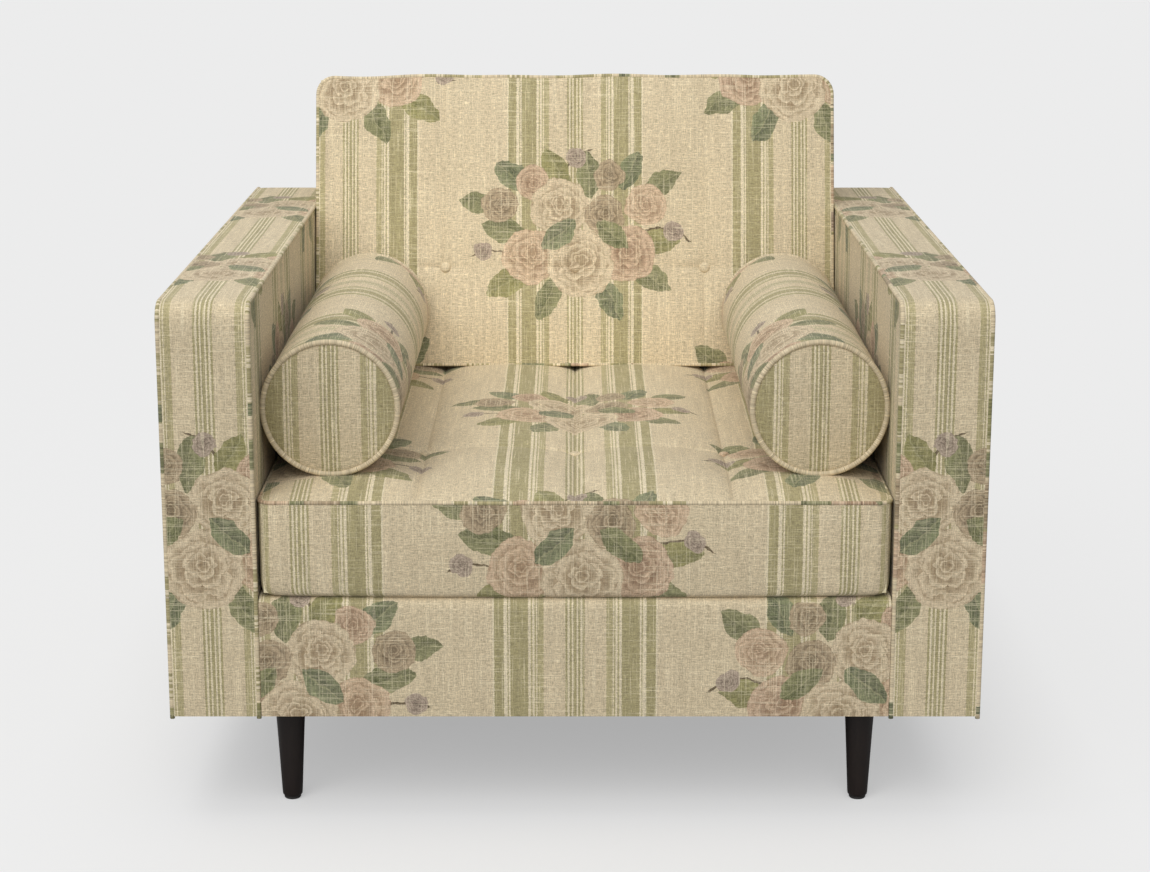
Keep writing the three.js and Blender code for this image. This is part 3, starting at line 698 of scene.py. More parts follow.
printed_linen = linen_material("printed_linen")
# The piping rings round the bolster ends are the plain ground dyed 7 % darker: painted shade.
shaded_ring_linen = linen_material("shaded_ring_linen", printed=False, striped=False, tone=0.93, strength=0.15)
# The bolsters' front ends are the striped linen dyed 10 % darker: painted shade.
shaded_end_linen = linen_material("bolster_end_linen", printed=False, tone=0.9)
print("printed linen material", len(printed_linen.node_tree.nodes), "nodes")

# %% [markdown]
# An arm is a padded board with square edges, covered in three panels: two sides and one strip.
# The strip runs up the front, over the top and down the rear, so its stripes never break.
# Its corners are rounded by moving the grid's corner squares onto a quarter circle.
# The pad swells a little between the welts and rests flat where the bolster presses.

# %% Arm covers
arm_corner = 23.8 * MM
arm_centre = (arm_inner + arm_outer) / 2
arm_depth = cover_rear - cover_front
hem = 12 * MM
hem_rise = 3 * MM
inner_swell = 0.2 * MM
outer_swell = 2.2 * MM
end_swell = 1.4 * MM

# Where the panels lie on the roll of cloth, in metres
arm_inner_roll = (0.167, 0.05)
arm_outer_roll = -0.03
arm_strip_roll = -0.235


def soft(share):
    """Rises from 0 at an edge to 1 inside, with a round shoulder. Padding rises like this."""
    return math.sin(min(1, max(0, share)) * math.pi / 2)


def ripple(x, y, z, size, seed):
    """Gentle unevenness of stuffed cloth, about -1 to 1. Size is the width of one wave."""
    return noise.noise(Vector((x / size + seed, y / size - seed, z / size + 2 * seed)))


def arm_cover(side, label):
    """One arm's cover."""
    xs = ruled(arm_inner, arm_outer, 12 * MM)
    ys = ruled(cover_front, cover_rear, 13 * MM)
    zs = ruled(leg_height, arm_top, 13 * MM)
    bm = ruled_box([xs, ys, zs])
    full = arm_top - leg_height

    def strip(co, gone):
        return (co.x - arm_centre, gone + arm_strip_roll)

    lay_cloth(bm, {
        LEFT: ("inner", lambda co: (co.y + arm_inner_roll[0], co.z + arm_inner_roll[1])),
        RIGHT: ("outer", lambda co: (-co.y, co.z + arm_outer_roll)),
        FRONT: ("strip", lambda co: strip(co, co.z - leg_height)),
        TOP: ("strip", lambda co: strip(co, full + co.y - cover_front)),
        REAR: ("strip", lambda co: strip(co, full + arm_depth + arm_top - co.z)),
        BOTTOM: ("under", lambda co: (co.x - arm_centre, co.y)),
    })
    half_depth = arm_depth / 2
    for vert in bm.verts:
        x, y, z = vert.co
        if z > arm_top - corner_reach:
            y, z = round_top(y, z, arm_top, half_depth, arm_corner)
        edge_x = min(x - arm_inner, arm_outer - x)
        edge_y = half_depth - abs(y)
        edge_z = min(arm_top - z, z - leg_height)
        if x > arm_outer - TINY:
            swell = soft(edge_y / 0.07) * soft(edge_z / 0.07)
            x += swell * (outer_swell + 1.0 * MM * ripple(x, y, z, 0.16, 3))
        if x < arm_inner + TINY:
            swell = soft(edge_y / 0.06) * soft(edge_z / 0.06)
            x -= swell * inner_swell * (1 + ripple(x, y, z, 0.12, 5))
        across = soft(edge_x / 0.03)
        if half_depth - abs(vert.co.y) < TINY:
            push = across * soft(edge_z / 0.05) * (end_swell + 0.8 * MM * ripple(x, 0, z, 0.1, 7))
            y += math.copysign(push, y)
        if vert.co.z > arm_top - TINY:
            z += across * soft(edge_y / 0.06) * (end_swell + 0.9 * MM * ripple(x, y, 0, 0.13, 9))
        if vert.co.z < leg_height + TINY and arm_outer - x > hem and edge_y > hem:
            z += hem_rise
        vert.co = (x, y, z)
    if side < 0:
        bmesh.ops.scale(bm, vec=(-1, 1, 1), verts=bm.verts)
        bmesh.ops.reverse_faces(bm, faces=bm.faces)
    nodes = [f"arm_cover_{label}"]
    name = f"arm_cloth_{label}"
    return finish_piece(bm, name, printed_linen, nodes, levels=1)


for label, side in SIDES:
    arm = arm_cover(side, label)
    print(arm.name, len(arm.data.polygons), "faces")

# %% [markdown]
# Piping is a cord wrapped in a bias strip of the same cloth and sewn into a seam.
# A ring of vertices is extruded from point to point along the seam, so the tube stays closed.
# Its cloth map is turned by 45 degrees, as the strip is, so the print runs slantwise round it.

# %% Piping
# A length on the bias goes this share of itself along each thread
bias = 0.707
bias_roll = 0.1


def sweep(route, across, radius, sides=10, closed=False, start=0.0):
    """A tube along a flat route. across is the normal of the route's plane."""
    bm = bmesh.new()
    cloth = bm.loops.layers.uv.new("cloth")
    count = len(route)
    frames = []
    travelled = [0.0]
    for i, point in enumerate(route):
        before = route[i - 1] if closed or i > 0 else route[i]
        after = route[(i + 1) % count] if closed or i < count - 1 else route[i]
        ahead = (after - before).normalized()
        outward = across.cross(ahead).normalized()
        turned = Matrix((outward, across, ahead)).transposed().to_4x4()
        frames.append(Matrix.Translation(point) @ turned)
        if i:
            travelled.append(travelled[-1] + (point - route[i - 1]).length)
    total = travelled[-1] + (route[0] - route[-1]).length
    ring = bmesh.ops.create_circle(bm, segments=sides, radius=radius, matrix=frames[0])["verts"]
    first = list({edge for vert in ring for edge in vert.link_edges})
    place = {vert: (0.0, i) for i, vert in enumerate(ring)}
    edges = first
    for i in range(1, count):
        grown = bmesh.ops.extrude_edge_only(bm, edges=edges)["geom"]
        verts = [item for item in grown if isinstance(item, bmesh.types.BMVert)]
        edges = [item for item in grown if isinstance(item, bmesh.types.BMEdge)]
        edges = [edge for edge in edges if all(vert in verts for vert in edge.verts)]
        for vert in verts:
            below = next(e.other_vert(vert) for e in vert.link_edges if e.other_vert(vert) in place)
            place[vert] = (travelled[i], place[below][1])
        bmesh.ops.transform(bm, matrix=frames[i] @ frames[i - 1].inverted(), verts=verts)
    if closed:
        bmesh.ops.bridge_loops(bm, edges=first + edges)
    else:
        bmesh.ops.contextual_create(bm, geom=first)
        bmesh.ops.contextual_create(bm, geom=edges)
    bmesh.ops.recalc_face_normals(bm, faces=bm.faces)
    for face in bm.faces:
        face.smooth = len(face.verts) == 4
        spots = [place[loop.vert] for loop in face.loops]
        wraps = max(s[1] for s in spots) - min(s[1] for s in spots) > sides / 2
        laps = closed and max(s[0] for s in spots) - min(s[0] for s in spots) > total / 2
        for loop, (gone, turn) in zip(face.loops, spots):
            around = (turn + (sides if wraps and turn < sides / 2 else 0)) / sides * TAU * radius
            gone += total if laps and gone < total / 2 else 0
            loop[cloth].uv = ((gone + around) * bias + start, (gone - around) * bias + bias_roll)
    return bm


def spread(points, step, closed=False):
    """Fills a route of corner points with points a step apart."""
    filled = []
    count = len(points) if closed else len(points) - 1
    for i in range(count):
        here = points[i]
        there = points[(i + 1) % len(points)]
        parts = max(1, round((there - here).length / step))
        filled += [here.lerp(there, k / parts) for k in range(parts)]
    if not closed:
        filled.append(points[-1])
    return filled


def quarter_turn(centre, radius, start, steps=8):
    """Points on a quarter circle in a plane."""
    angles = [start + (i / steps) * math.pi / 2 for i in range(steps + 1)]
    return [(centre[0] + radius * math.cos(a), centre[1] + radius * math.sin(a)) for a in angles]


piping_step = 6 * MM
piping_foot = leg_height - 3 * MM
piping_gather = 0.18 * MM
chair_half_width = 500 * MM
arm_piping_corner = 25 * MM - piping_radius
for label, side in SIDES:
    places = {"inner": x_in + piping_radius, "outer": chair_half_width - piping_radius}
    for edge, x in places.items():
        front = -chair_half_depth + piping_radius
        rear = -front
        top = arm_height - piping_radius
        radius = arm_piping_corner
        turn = quarter_turn((front + radius, top - radius), radius, math.pi / 2)[::-1]
        back_turn = quarter_turn((rear - radius, top - radius), radius, 0)[::-1]
        profile = [(front, piping_foot)] + turn + back_turn + [(rear, piping_foot)]
        route = spread([Vector((side * x, y, z)) for y, z in profile], piping_step)
        bm = sweep(route, Vector((1, 0, 0)), piping_radius, start=0.06 * (x + side))
        for vert in bm.verts:
            vert.co.z += piping_gather * ripple(vert.co.x, vert.co.y, vert.co.z, 0.012, 2)
        nodes = [f"arm_piping_{label}_{edge}"]
        finish_piece(bm, f"arm_welt_{label}_{edge}", printed_linen, nodes)
print("arm piping made, radius", piping_radius)

# %% [markdown]
# The apron is the upholstered board under the seat cushion.
# It is a thin padded panel with a rounded top edge, and a lip that runs back under the cushion.
# The lip is drawn out of the panel's rear by extruding the upper faces.

# %% Apron
apron_thickness = 13 * MM
apron_rear = cover_front + apron_thickness
apron_edge = 12 * MM
apron_lip = 56 * MM
apron_roll = 0.085
xs = ruled(-between_arms, between_arms, 14 * MM)
ys = [cover_front, cover_front + 4 * MM, cover_front + 8 * MM, apron_rear]
zs = ruled(leg_height, deck_bottom, 13 * MM, (3 * MM, 7 * MM))
zs += [deck_bottom + 6 * MM, deck_bottom + 10 * MM, deck_height]
bm = ruled_box([xs, ys, zs])
lip_faces = [f for f in bm.faces if f.normal.y > 0.9 and f.calc_center_median().z > deck_bottom]
lip = bmesh.ops.extrude_face_region(bm, geom=lip_faces)["geom"]
lip_verts = [item for item in lip if isinstance(item, bmesh.types.BMVert)]
bmesh.ops.translate(bm, vec=(0, apron_lip, 0), verts=lip_verts)
bmesh.ops.delete(bm, geom=lip_faces, context="FACES_ONLY")
bm.normal_update()
lay_cloth(bm, {
    LEFT: ("side", lambda co: (co.y, co.z)),
    RIGHT: ("side", lambda co: (co.y, co.z)),
    FRONT: ("face", lambda co: (co.x, co.z + apron_roll)),
    TOP: ("face", lambda co: (co.x, deck_height + co.y - cover_front + apron_roll)),
    REAR: ("inside", lambda co: (co.x, co.z)),
    BOTTOM: ("inside", lambda co: (co.x, co.y)),
})
for vert in bm.verts:
    x, y, z = vert.co
    front_face = y < cover_front + TINY
    if y < apron_rear - TINY:
        y, z = round_top(y - apron_rear, z, deck_height, apron_thickness, apron_edge)
        y += apron_rear
    if front_face:
        swell = soft((between_arms - abs(x)) / 0.05) * soft((z - leg_height) / 0.05)
        swell *= soft((deck_height - z) / 0.03)
        y -= swell * (1.0 * MM + 0.8 * MM * ripple(x, 0, z, 0.15, 11))
    if vert.co.z < leg_height + TINY and y > cover_front + 3 * MM:
        z += 0.5 * MM
    vert.co = (x, y, z)
nodes = ["apron_cover"]
apron = finish_piece(bm, "apron_cloth", printed_linen, nodes, levels=1)
print("apron", len(apron.data.polygons), "faces")

# %% [markdown]
# The back is a wedge: upright behind, leaning inside, with a soft rounded top.
# One cloth runs up the rear, over the top and down the inside, so the stripes meet at the sides.
# The bottom rear strip is extruded down to the frame's lower edge.

# %% Back cover
back_radius = 18 * MM
back_roll = 0.12
wall_line = 0.75
xs = ruled(-between_arms, between_arms, 16 * MM)
ys = [0, 0.15, 0.3, 0.45, 0.6, wall_line, 0.9, 1]
zs = ruled(deck_bottom, back_height, 14 * MM)
bm = ruled_box([xs, ys, zs])
for vert in bm.verts:
    inside = inside_back(vert.co.z)
    rear_wall = (cavity_rear - inside) / (cover_rear - inside)
    at_wall = abs(vert.co.y - wall_line) < 0.01 and vert.co.z < deck_bottom + TINY
    share = rear_wall if at_wall else vert.co.y
    vert.co.y = inside + (cover_rear - inside) * share
foot_faces = [
    f for f in bm.faces
    if f.normal.z < -0.9 and f.calc_center_median().y > cavity_rear - 1 * MM
]
foot = bmesh.ops.extrude_face_region(bm, geom=foot_faces)["geom"]
foot_verts = [item for item in foot if isinstance(item, bmesh.types.BMVert)]
bmesh.ops.translate(bm, vec=(0, 0, leg_height - deck_bottom), verts=foot_verts)
bmesh.ops.delete(bm, geom=foot_faces, context="FACES_ONLY")
foot_edges = [e for e in bm.edges if abs(e.verts[0].co.z - e.verts[1].co.z) > 0.1]
bmesh.ops.subdivide_edges(bm, edges=foot_edges, cuts=8)
bm.normal_update()
over_top = back_height + back_top_thickness
lay_cloth(bm, {
    LEFT: ("side", lambda co: (co.y, co.z)),
    RIGHT: ("side", lambda co: (co.y, co.z)),
    REAR: ("cloth", lambda co: (-co.x, co.z + back_roll)),
    TOP: ("cloth", lambda co: (-co.x, back_height + cover_rear - co.y + back_roll)),
    FRONT: ("inside", lambda co: (-co.x, over_top + back_height - co.z + back_roll)),
    BOTTOM: ("under", lambda co: (co.x, co.y)),
})
top_front = inside_back(back_height)
middle = (top_front + cover_rear) / 2
half = (cover_rear - top_front) / 2
for vert in bm.verts:
    x, y, z = vert.co
    edge_x = between_arms - abs(x)
    if z > back_height - back_radius - 2 * MM:
        y, z = round_top(y - middle, z, back_height, half, back_radius)
        y += middle
    if vert.co.y > cover_rear - TINY:
        swell = soft(edge_x / 0.08) * soft((z - leg_height) / 0.08) * soft((back_height - z) / 0.05)
        y += swell * (2.5 * MM + 1.2 * MM * ripple(x, 0, z, 0.2, 13))
    if vert.co.z > back_height - TINY:
        z += soft(edge_x / 0.05) * (0.8 * MM + 0.8 * MM * ripple(x, y, 0, 0.15, 15))
    if edge_x < TINY and z > arm_height - 20 * MM:
        x = math.copysign(abs(x) - 1.5 * MM * (1 - soft((back_height - z) / 0.02)), x)
    vert.co = (x, y, z)
nodes = ["back_cover"]
back = finish_piece(bm, "back_cloth", printed_linen, nodes, levels=1)
print("back", len(back.data.polygons), "faces")

# %% [markdown]
# A cushion is a boxed pad: a face, an underside and a strip of boxing between them.
# The face is sewn down along three lines and pulled in by a button on each.
# It is drawn flat in its own frame, x across, y along and z through it, and rounded afterwards.
# The rise of the face is worked out from the distance to the nearest edge, seam and button.
# Each seam is a wide valley with a fine cut along its line, and pleats run out from each button.

# %% Cushion shape
face_shoulder = 90 * MM
seam_slope = 22 * MM
seam_width = 3.5 * MM
row_slope = 30 * MM
row_width = 4 * MM
row_gap = 12 * MM
pinch_width = 30 * MM
dimple_radius = 15 * MM
pleat_height = 0.8 * MM
pleat_place = 26 * MM
pleat_width = 20 * MM
held_by_seam = 4 * MM
held_by_button = 16 * MM
seam_crease = 0.8
beside_seam = (2.5 * MM, 7 * MM, 14 * MM)


def cushion_rise(pad, x, y):
    """Height of the face above its edge: full in each column, drawn in at seams and buttons."""
    in_x = soft((pad["half"] - abs(x)) / face_shoulder)
    in_y = soft(min(y - pad["near"], pad["far"] - y) / face_shoulder)
    swell = in_x * in_y
    seam = sum(math.exp(-abs(x - place) / seam_slope) for place in columns)
    fine_seam = sum(math.exp(-((x - place) / seam_width) ** 2) for place in columns)
    fine_seam *= 1 - math.exp(-((y - pad["row"]) / row_gap) ** 2)
    row = math.exp(-abs(y - pad["row"]) / row_slope)
    fine_row = math.exp(-((y - pad["row"]) / row_width) ** 2)
    pinch = sum(math.exp(-((x - place) / pinch_width) ** 2) for place in columns)
    row_cut = 1.0 * MM + pad["row_cut"] * pinch
    height = swell * (pad["crown"] - pad["seam"] * seam - pad["row_depth"] * row)
    height -= min(1, swell * 3) * (pad["seam_cut"] * fine_seam + row_cut * fine_row)
    for place in columns:
        away = math.hypot(x - place, y - pad["row"])
        height -= pad["dimple"] * math.exp(-((away / dimple_radius) ** 2))
        turn = math.atan2(y - pad["row"], x - place)
        pull = math.cos(9 * turn + place * 31)
        height += pleat_height * pull * math.exp(-((away - pleat_place) / pleat_width) ** 2)
    height += swell * pad["uneven"] * ripple(x, y, 0, 0.11, pad["seed"])
    return height


def ruled_between(stops, step):
    """Lines ruled from stop to stop, closer together at each stop."""
    lines = [stops[0]]
    for low, high in zip(stops, stops[1:]):
        lines += ruled(low, high, step, beside_seam)[1:]
    return lines


def far_wave(pad, x, share):
    """How far a soft edge strays from its straight line, all of it at the far end."""
    return pad["wave"] * ripple(x, 0, 0, 0.13, 41) * max(0, share) ** 2


def cushion_form(pad, step):
    """A boxed cushion in its own frame, and for each point whether it is sewn down."""
    xs = ruled_between([-pad["half"], -column, 0, column, pad["half"]], step)
    ys = ruled_between([pad["near"], pad["row"], pad["far"]], step)
    zs = ruled(0, pad["thickness"], 12 * MM, (3 * MM, 7 * MM))
    bm = ruled_box([xs, ys, zs])
    length = pad["far"] - pad["near"]

    def boxing(co, gone):
        return (gone, co.z + pad["boxing_roll"])

    lay_cloth(bm, {
        FRONT: ("boxing", lambda co: boxing(co, co.x)),
        RIGHT: ("boxing", lambda co: boxing(co, pad["half"] + co.y - pad["near"])),
        REAR: ("boxing", lambda co: boxing(co, pad["half"] + length + pad["half"] - co.x)),
        LEFT: ("boxing", lambda co: boxing(co, -pad["half"] - co.y + pad["near"])),
        TOP: ("face", lambda co: (co.x, co.y + pad["face_roll"])),
        BOTTOM: ("under", lambda co: (co.x, co.y)),
    })
    crease = bm.edges.layers.float["crease_edge"]
    for edge in bm.edges:
        start, end = [vert.co for vert in edge.verts]
        off_line = min(max(abs(start.x - place), abs(end.x - place)) for place in columns)
        if off_line < TINY and min(start.z, end.z) > pad["thickness"] - TINY:
            edge[crease] = seam_crease
    middle = (pad["near"] + pad["far"]) / 2
    half_length = length / 2
    sewn = []
    for vert in bm.verts:
        x, y, z = vert.co
        on_face = z > pad["thickness"] - TINY
        on_edge = abs(x) > pad["half"] - TINY or min(y - pad["near"], pad["far"] - y) < TINY
        roll = pad["edge_roll"] * (1.25 - 0.7 * soft((pad["half"] - abs(x)) / 0.3))
        low = max(0, 1 - z / roll)
        tuck = roll * (1 - math.sqrt(max(0, 1 - low * low)))
        bulge = 0.0
        if on_edge:
            through = z / pad["thickness"]
            bulge = pad["bulge"] * math.sin(math.pi * through) ** 0.8
            bulge *= 1 + 0.35 * ripple(x, y, z, 0.14, pad["seed"] + 4)
        u, v = round_off(x, y - middle, pad["half"], half_length, pad["corner"])
        v += far_wave(pad, x, v / half_length)
        grow_u = (pad["half"] - tuck) / pad["half"]
        grow_v = (half_length - tuck + bulge) / half_length
        rise = cushion_rise(pad, x, y) if on_face else 0
        vert.co = (u * grow_u, middle + v * grow_v, z + rise)
        near_seam = min(abs(x - place) for place in columns)
        near_button = min(math.hypot(x - place, y - pad["row"]) for place in columns)
        stitched = on_face and (near_seam < held_by_seam or near_button < held_by_button)
        sewn.append((on_face and on_edge) or z < pad["edge_roll"] or stitched)
    return bm, sewn


# %% [markdown]
# The air of the stuffing is simulated with Cloth: seams and buttons are held, and a small
# pressure pushes the panels out between them. This gives the tight folds of a filled cover.
# How far a point may move is capped, so that the cushion keeps its size.

# %% Filling a cushion
stuffing_pressure = 4
stuffing_frames = 18


def fill_cover(piece, sewn, cap, keep_clear):
    """Blows a cover up a little, with its seams held, and keeps the result off its neighbours."""
    levels = [m for m in piece.modifiers if m.type == "SUBSURF"]
    for modifier in levels:
        modifier.show_viewport = False
    held = piece.vertex_groups.new(name="held")
    held.add([index for index, is_sewn in enumerate(sewn) if is_sewn], 1, "REPLACE")
    cloth = piece.modifiers.new("stuffing", "CLOTH")
    settings = cloth.settings
    settings.quality = 6
    settings.mass = 0.3
    settings.tension_stiffness = 20
    settings.compression_stiffness = 12
    settings.shear_stiffness = 6
    settings.bending_stiffness = 0.6
    settings.vertex_group_mass = "held"
    settings.use_pressure = True
    settings.uniform_pressure_force = stuffing_pressure
    settings.effector_weights.gravity = 0
    cloth.collision_settings.use_collision = False
    cloth.point_cache.frame_start = 1
    cloth.point_cache.frame_end = stuffing_frames
    scene.frame_start = 1
    scene.frame_end = stuffing_frames
    for number in range(1, stuffing_frames + 1):
        scene.frame_set(number)
    shaped = piece.evaluated_get(bpy.context.evaluated_depsgraph_get())
    moved = 0.0
    for vert, after in zip(piece.data.vertices, shaped.data.vertices):
        step = after.co - vert.co
        if step.length > cap:
            step *= cap / step.length
        moved = max(moved, step.length)
        vert.co = keep_clear(vert.co + step)
    piece.modifiers.remove(cloth)
    piece.vertex_groups.clear()
    scene.frame_set(1)
    for modifier in levels:
        modifier.show_viewport = True
    piece.data.update()
    return moved


# %% [markdown]
# The seat cushion fills the space between the arms and lies flat on the deck.
# Its list below gives the outline, then how high the face rises and how deep each seam draws it
# in. Crown is the rise, and roll is the panel's place on the roll of cloth.

# %% Seat cushion
cushion_grid = 10 * MM
cushion_cap = 4 * MM
seat_pad = {
    "half": between_arms - piping_proud,
    "near": cover_front,
    "far": inside_back(seat_bottom) - fit - piping_proud,
    "row": -chair_half_depth + 235 * MM,
    "thickness": 121 * MM,
    "corner": 20 * MM,
    "edge_roll": 9 * MM,
    "crown": 14 * MM,
    "seam": 7.5 * MM,
    "seam_cut": 3.4 * MM,
    "row_cut": 2.0 * MM,
    "row_depth": 3.0 * MM,
    "dimple": 2.6 * MM,
    "button_lift": 3.4 * MM,
    "bulge": 2.0 * MM,
    "uneven": 1.9 * MM,
    "wave": 0,
    "seed": 21,
    "boxing_roll": -0.07,
    "face_roll": 0.08,
}


def clear_of_arms(co):
    """Holds a point of a seat or back cushion between the arms and in front of the back."""
    wall = arm_inner - 0.7 * MM
    behind = inside_back(co.z) - fit
    return Vector((max(-wall, min(wall, co.x)), min(co.y, behind), co.z))


bm, seat_sewn = cushion_form(seat_pad, cushion_grid)
bmesh.ops.translate(bm, vec=(0, 0, seat_bottom), verts=bm.verts)
nodes = ["seat_cushion_cover"]
seat = finish_piece(bm, "seat_cloth", printed_linen, nodes, levels=1)
seat_moved = fill_cover(seat, seat_sewn, cushion_cap, clear_of_arms)
print("seat cushion", len(seat.data.polygons), "faces, filled by", round(seat_moved / MM, 1), "mm")

# %% [markdown]
# The back cushion stands on the seat cushion and leans on the back, so its foot is cut level.
# It is made lying flat, as the seat cushion is, and a matrix then stands it up in its place.

# %% Back cushion
back_length = 436 * MM
back_thickness = 130 * MM
back_pad = {
    "half": between_arms - piping_proud,
    "near": piping_proud,
    "far": back_length - piping_proud,
    "row": 147.5 * MM,
    "thickness": back_thickness,
    "corner": 28 * MM,
    "edge_roll": 10 * MM,
    "crown": 9 * MM,
    "seam": 2.2 * MM,
    "seam_cut": 1.5 * MM,
    "row_cut": 0.5 * MM,
    "row_depth": 1.0 * MM,
    "dimple": 3.0 * MM,
    "button_lift": 1.4 * MM,
    "bulge": 2.0 * MM,
    "uneven": 1.8 * MM,
    "wave": 6.0 * MM,
    "seed": 27,
    "boxing_roll": 0.1,
    "face_roll": 0.325,
}
back_foot_z = seat_top + fit
back_foot_y = inside_back(back_foot_z) - (back_thickness + fit) / math.cos(back_lean)
back_origin = Vector((
    0,
    back_foot_y + back_thickness * math.cos(back_lean),
    back_foot_z - back_thickness * math.sin(back_lean),
))
back_frame = Matrix((
    (1, 0, 0, back_origin.x),
    (0, math.sin(back_lean), -math.cos(back_lean), back_origin.y),
    (0, math.cos(back_lean), math.sin(back_lean), back_origin.z),
    (0, 0, 0, 1),
))


def level_foot(bm):
    """Cuts the foot of the leaning cushion level, and lets it run out up its length."""
    for vert in bm.verts:
        depth = max(0, back_thickness - vert.co.z)
        share = 1 - min(1, max(0, vert.co.y / back_length))
        vert.co.y += share * depth * math.tan(back_lean)


bm, back_sewn = cushion_form(back_pad, cushion_grid)
level_foot(bm)
bmesh.ops.transform(bm, matrix=back_frame, verts=bm.verts)
nodes = ["back_cushion_cover"]
name = "back_cushion_cloth"
back_rest = finish_piece(bm, name, printed_linen, nodes, levels=1)
back_moved = fill_cover(back_rest, back_sewn, cushion_cap, clear_of_arms)
print("back cushion", len(back_rest.data.polygons), "faces, filled by", round(back_moved / MM, 1), "mm")

# %% [markdown]
# Both cushions have piping round the edge of the face. It sits just inside the corner,
# so only a small welt stands proud of the face and of the boxing.

# %% Cushion piping
def cushion_piping(pad, radius, frame_matrix, name, node, level_it):
    """A closed ring of piping at the edge of a cushion's face."""
    half = pad["half"] + piping_proud - radius
    near = pad["near"] - piping_proud + radius
    far = pad["far"] + piping_proud - radius
    corner = pad["corner"] + piping_proud - radius
    right = half - corner
    top = far - corner
    foot = near + corner
    outline = quarter_turn((right, foot), corner, -math.pi / 2)
    outline += quarter_turn((right, top), corner, 0)
    outline += quarter_turn((-right, top), corner, math.pi / 2)
    outline += quarter_turn((-right, foot), corner, math.pi)
    level = pad["thickness"] + piping_proud - radius
    route = spread([Vector((x, y, level)) for x, y in outline], piping_step, closed=True)
    middle = (near + far) / 2
    for point in route:
        point.z += 0.5 * MM * ripple(point.x, point.y, 0, 0.09, pad["seed"])
        point.y += far_wave(pad, point.x, (point.y - middle) / (far - middle))
    bm = sweep(route, Vector((0, 0, 1)), radius, closed=True, start=0.03)
    if level_it:
        level_foot(bm)
    bmesh.ops.transform(bm, matrix=frame_matrix, verts=bm.verts)
    return finish_piece(bm, name, printed_linen, [node])


seat_frame = Matrix.Translation((0, 0, seat_bottom))
cushion_piping(seat_pad, 2.6 * MM, seat_frame, "seat_welt", "seat_cushion_piping", False)
cushion_piping(back_pad, 3 * MM, back_frame, "back_cushion_welt", "back_cushion_piping", True)
print("cushion piping made")

# %% [markdown]
# The buttons are domed moulds covered in the cushion's own cloth.
# A half sphere is flattened, and its rim is tucked under into the dimple.

# %% Covered buttons
button_radius = 8 * MM
button_dome = 4.2 * MM
button_roll = 0.02
for pad, frame_matrix, name in ((seat_pad, seat_frame, "seat"), (back_pad, back_frame, "back")):
    for label, x in zip(("left", "middle", "right"), columns):
        bm = bmesh.new()
        cloth = bm.loops.layers.uv.new("cloth")
        bmesh.ops.create_uvsphere(bm, u_segments=24, v_segments=12, radius=1)
        bmesh.ops.scale(bm, vec=(button_radius, button_radius, button_dome), verts=bm.verts)
        for face in bm.faces:
            face.smooth = True
            for loop in face.loops:
                spot = loop.vert.co
                loop[cloth].uv = (x + spot.x + button_roll, pad["row"] + pad["face_roll"] + spot.y)
        level = pad["thickness"] + cushion_rise(pad, x, pad["row"]) + pad["button_lift"]
        bmesh.ops.translate(bm, vec=(x, pad["row"], level), verts=bm.verts)
        bmesh.ops.transform(bm, matrix=frame_matrix, verts=bm.verts)
        nodes = [f"{name}_button_{label}"]
        finish_piece(bm, f"{name}_tuft_{label}", printed_linen, nodes)
print("six buttons, radius", button_radius)

# %% [markdown]
# A bolster is a long round cushion. Its cover is a tube with a round end sewn in at each end.
# The half outline, from the middle of the front end to the middle of the rear end, is spun
# about the bolster's axis. On the tube the stripes run round, and on the ends they stand upright.

# %% Bolsters
bolster_radius = 85.2 * MM
bolster_reach = bolster_radius + 1 * MM
bolster_x = arm_inner - fit - bolster_reach
bolster_z = seat_top + fit + bolster_radius
bolster_front = -chair_half_depth + 80 * MM
bolster_length = back_foot_y - 3 * MM - bolster_front
ring_radius = bolster_reach - piping_radius
bolster_turns = 72
bolster_grid = 44
bolster_cap = 2 * MM
seam_front = 3.2 * MM
seam_rear = bolster_length - 1.2 * MM
tube_roll = (-0.415, 0.03)
end_roll = 0.14


def spun(outline, axis, steps):
    """A closed shape, from a half outline that is spun once round an axis."""
    bm = bmesh.new()
    line = [bm.verts.new(point) for point in outline]
    chain = [bm.edges.new(ends) for ends in zip(line, line[1:])]
    bmesh.ops.spin(
        bm,
        geom=line + chain,
        cent=(0, 0, 0),
        axis=axis,
        angle=TAU,
        steps=steps,
        use_merge=True,
    )
    bmesh.ops.remove_doubles(bm, verts=bm.verts, dist=TINY)
    bmesh.ops.recalc_face_normals(bm, faces=bm.faces)
    return bm


def bolster_outline():
    """Radius and depth along the half outline, from the front end's middle to the rear's."""
    shares = (0, 0.1, 0.22, 0.36, 0.5, 0.64, 0.78, 0.88, 0.95)
    points = [(ring_radius * share, 1.6 * MM - 5.0 * MM * (1 - share ** 2.6)) for share in shares]
    points.append((bolster_radius - 3 * MM, seam_front))
    points.append((bolster_radius - 0.8 * MM, 6.5 * MM))
    points.append((bolster_radius, 11 * MM))
    for i in range(1, bolster_grid):
        share = i / bolster_grid
        swell = 0.6 * MM * math.sin(math.pi * share)
        points.append((bolster_radius + swell, 10 * MM + (bolster_length - 20 * MM) * share))
    points.append((bolster_radius, bolster_length - 10 * MM))
    points.append((bolster_radius - 0.6 * MM, bolster_length - 5 * MM))
    points.append((bolster_radius - 3 * MM, seam_rear))
    for share in (0.9, 0.7, 0.5, 0.3, 0.12, 0):
        points.append((ring_radius * share, bolster_length + 1.0 * MM * (1 - share ** 2)))
    return points


def clear_of_seat(co):
    """Flattens a point of a bolster where it lies on the seat and against an arm."""
    wall = arm_inner - 0.3 * MM
    return Vector((max(-wall, min(wall, co.x)), co.y, max(co.z, seat_top - 1 * MM)))


